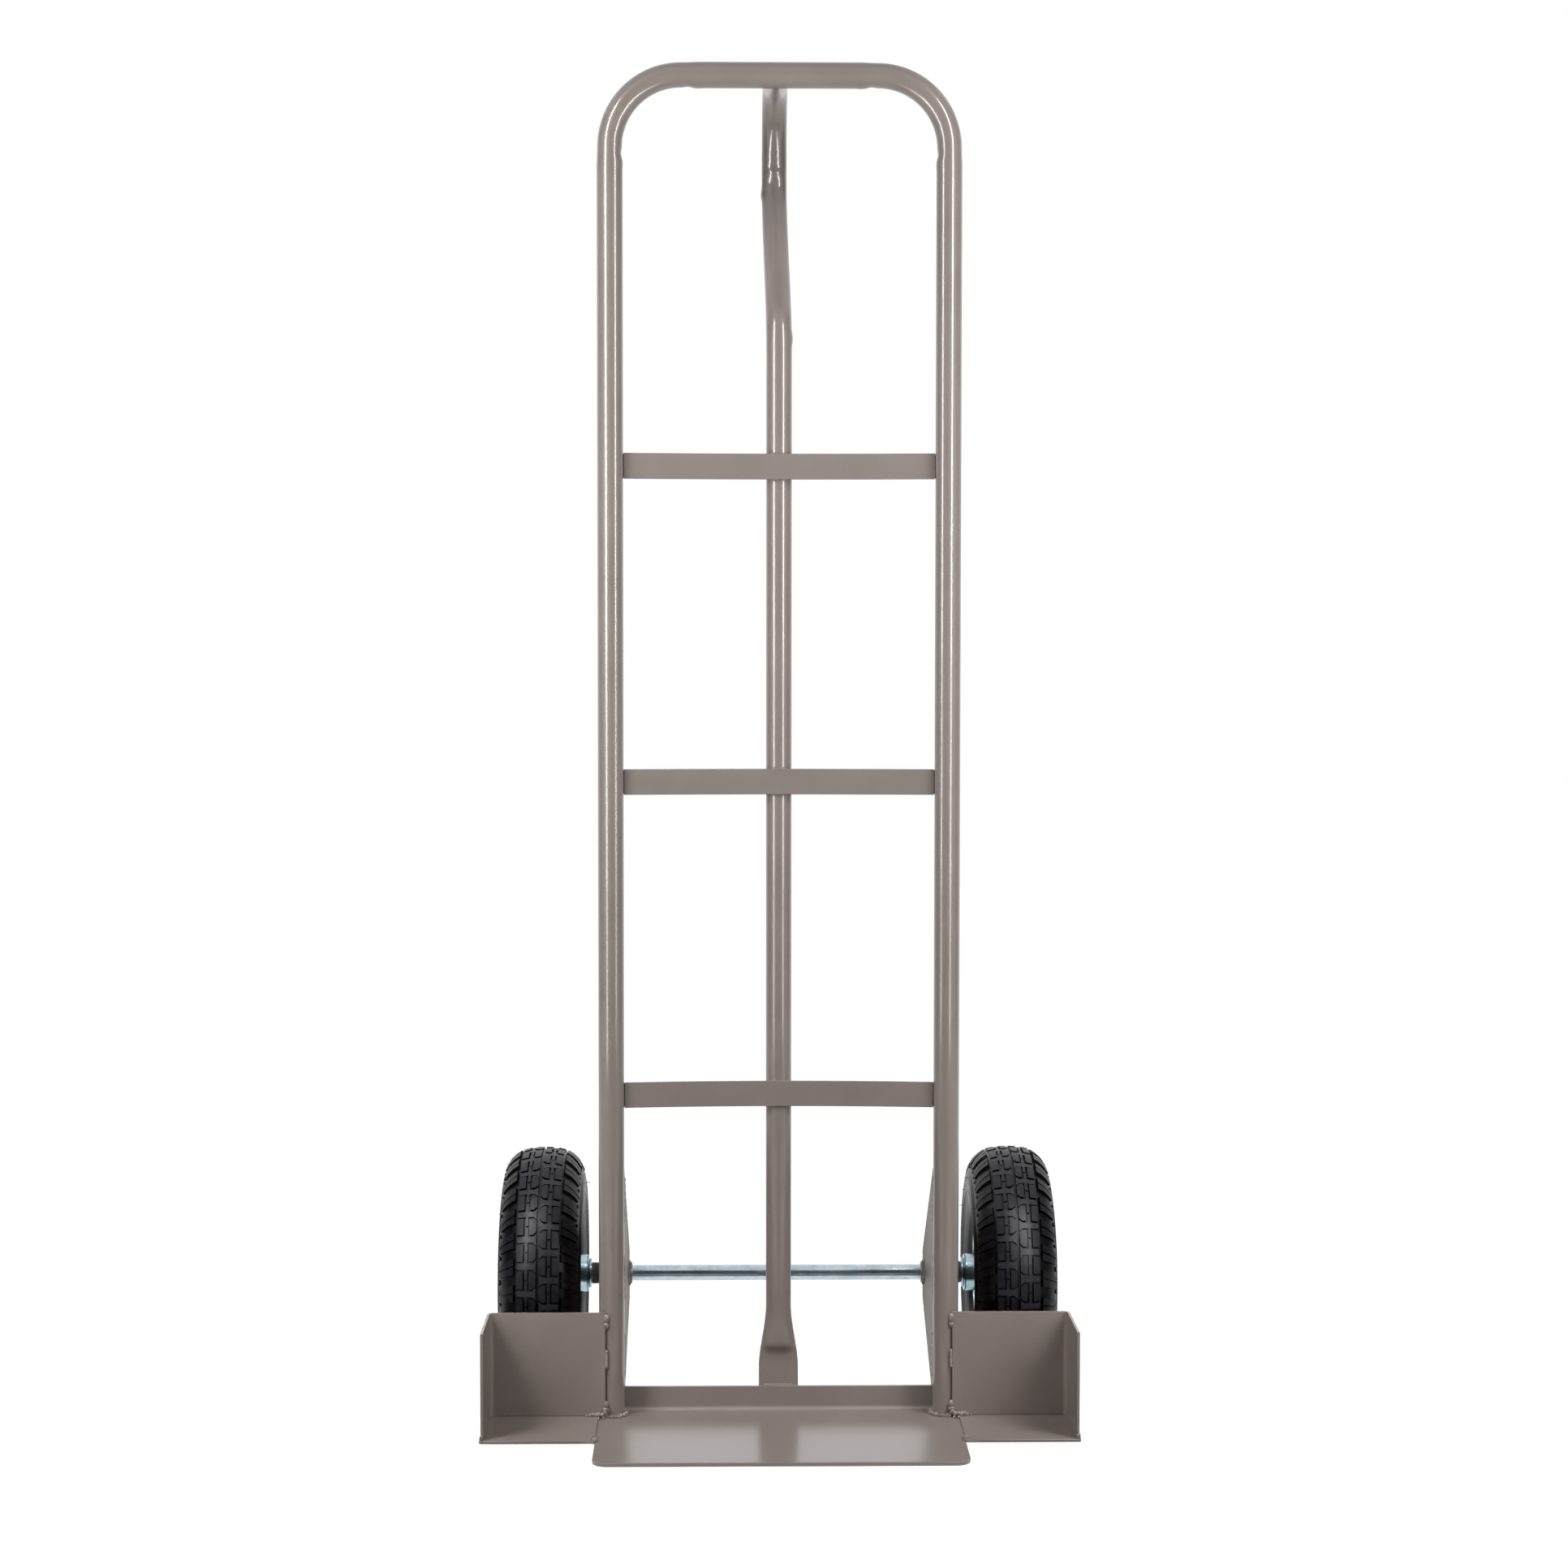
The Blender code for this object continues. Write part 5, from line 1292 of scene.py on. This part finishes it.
# Studio: white sweep, two tall soft strips near the truck, and even fill
studio = {
    "ambient": 0.10,
    "stripWide": 0.11, "stripGlow": 28.0,       # two strips that only the gloss shows
    "stripSteps": ((0.28, 0.48, 0.4), (0.48, 0.74, 0.66), (0.74, 1.56, 1.0)),
    "leftStrip": (-0.44, -0.48), "rightStrip": (0.42, -0.58),
    "sideX": 0.8, "sideY": -0.62, "sideSize": (0.3, 1.25), "sideMiddle": 0.98, "sideGlow": 9.3,
    "fillFrom": (0, -1.1, 1.9), "fillAim": (0, 0, 0.7), "fillGlow": 1.4, "fillSize": (1.2, 0.5),
    "pocketFrom": (0.62, -0.42, 0.7), "pocketAim": (0.26, -0.06, 0.07),   # over each wing's side
    "pocketSize": (0.25, 0.25), "pocketGlow": 0.8, "pocketSpread": 40,
    "surround": 3.3, "surroundHigh": 3.2, "surroundGlow": 0.08,
    # the dark room's floor as (x0, y0, x1, y1), but for the white patches that the toe plate's
    # edge and the tyres show; it lies this high
    "darkLow": 0.0006,
    "darkFloor": ((-1.3, -3.3, 1.3, -1.1), (-0.22, -1.1, 0.22, -0.5), (-1.3, -0.5, 1.3, -0.3),
                  (-1.3, -0.3, -0.19, 0.02), (0.19, -0.3, 1.3, 0.02)),
    "floor": "#A0A0A0", "floorGlow": 0.98, "floorHalf": 14,
}


def seenDirectly(tree):
    # 1 for rays from the camera, mirrors and glass, and 0 for the light that falls on things
    rays = addNode(tree, "ShaderNodeLightPath")
    seen = addNode(tree, "ShaderNodeMath", {0: rays.outputs["Is Camera Ray"],
                                            1: rays.outputs["Is Glossy Ray"]}, operation="MAXIMUM")
    seen = addNode(tree, "ShaderNodeMath", {0: seen.outputs["Value"],
                                            1: rays.outputs["Is Transmission Ray"]},
                   operation="MAXIMUM")
    return seen.outputs["Value"]


def hideFrom(thing, rays):
    for ray in rays:
        setattr(thing, "visible_" + ray, False)


def studioCard(name, corners, faces, materialName, hidden=()):
    # A card that belongs to the studio, with its material still to fill
    mesh = bpy.data.meshes.new(name)
    mesh.from_pydata(corners, [], faces)
    card = bpy.data.objects.new(name, mesh)
    scene.collection.objects.link(card)
    material, tree = blankMaterial(materialName)
    mesh.materials.append(material)
    hideFrom(card, hidden)
    return tree


def makeFloor():
    # Pale floor that reads white to the eye and in reflections, and still takes the shadow
    far = studio["floorHalf"]
    tree = studioCard("studioFloor", [(-far, -far, 0), (far, -far, 0), (far, far, 0),
                                      (-far, far, 0)], [(0, 1, 2, 3)], "paleStudioFloor")
    matt = addNode(tree, "ShaderNodeBsdfDiffuse", values={"Color": linear(studio["floor"])})
    glow = addNode(tree, "ShaderNodeEmission",
                   values={"Color": (1, 1, 1, 1), "Strength": studio["floorGlow"]})
    both = addNode(tree, "ShaderNodeAddShader", {0: matt.outputs[0], 1: glow.outputs[0]})
    choose = addNode(tree, "ShaderNodeMixShader", {"Fac": seenDirectly(tree), 1: matt.outputs[0],
                                                   2: both.outputs[0]})
    addNode(tree, "ShaderNodeOutputMaterial", {"Surface": choose.outputs[0]})


def makeWorld():
    world = bpy.data.worlds.new("whiteStudio")
    scene.world = world
    world.use_nodes = True
    tree = world.node_tree
    tree.nodes.clear()
    level = addNode(tree, "ShaderNodeMapRange", {"Value": seenDirectly(tree)},
                    {"To Min": studio["ambient"], "To Max": 1.0})
    sky = addNode(tree, "ShaderNodeBackground", {"Strength": level.outputs["Result"]},
                  {"Color": (1, 1, 1, 1)})
    addNode(tree, "ShaderNodeOutputWorld", {"Surface": sky.outputs["Background"]})


def addLamp(name, place, target, size, glow, hidden="glossy", spread=180):
    # An area lamp of a given glow, kept out of the camera's rays and of those that hidden names
    data = bpy.data.lights.new(name, "AREA")
    data.shape = "RECTANGLE"
    data.size, data.size_y = size
    data.energy = glow * math.pi * size[0] * size[1]
    data.spread = math.radians(spread)
    lamp = bpy.data.objects.new(name, data)
    lamp.location = place
    towards = Vector(target) - lamp.location
    lamp.rotation_euler = towards.to_track_quat("-Z", "Y").to_euler()
    hideFrom(lamp, ("camera", hidden))
    scene.collection.objects.link(lamp)


def addStrip(name, place):
    # A tall strip that fades downwards
    for step, (low, high, share) in enumerate(studio["stripSteps"]):
        middle = (low + high) / 2
        addLamp(f"{name}{step + 1}", (*place, middle), (0, -0.08, middle),
                (studio["stripWide"], high - low), studio["stripGlow"] * share, "diffuse")


def addDarkRoom():
    # The unlit room in front and beside the camera, which only bright metal and gloss show
    points = arc((0, 0), studio["surround"], -205, 25, 46)
    count, low, high = len(points), studio["darkLow"], studio["surroundHigh"]
    corners = [(x, y, low) for x, y in points] + [(x, y, high) for x, y in points]
    faces = [(i, i + 1, count + i + 1, count + i) for i in range(count - 1)]
    for x0, y0, x1, y1 in studio["darkFloor"]:
        at = len(corners)
        corners += [(x0, y0, low), (x1, y0, low), (x1, y1, low), (x0, y1, low)]
        faces.append((at, at + 1, at + 2, at + 3))
    tree = studioCard("darkRoom", corners, faces, "blackCloth",
                      ("camera", "diffuse", "transmission", "shadow"))
    cloth = addNode(tree, "ShaderNodeEmission", values={"Strength": studio["surroundGlow"]})
    addNode(tree, "ShaderNodeOutputMaterial", {"Surface": cloth.outputs[0]})


makeFloor()
makeWorld()
addDarkRoom()
addStrip("leftStrip", studio["leftStrip"])
addStrip("rightStrip", studio["rightStrip"])
for sideName, side in bothSides:
    middle = studio["sideMiddle"]
    addLamp(sideName + "SideLight", (side * studio["sideX"], studio["sideY"], middle),
            (0, -0.05, middle), studio["sideSize"], studio["sideGlow"])
    place, aim = [(side * x, y, z) for x, y, z in (studio["pocketFrom"], studio["pocketAim"])]
    addLamp(sideName + "PocketLight", place, aim, studio["pocketSize"], studio["pocketGlow"],
            spread=studio["pocketSpread"])
addLamp("frontFill", studio["fillFrom"], studio["fillAim"], studio["fillSize"], studio["fillGlow"])
scene.view_settings.view_transform = "Standard"
print("studio lit")
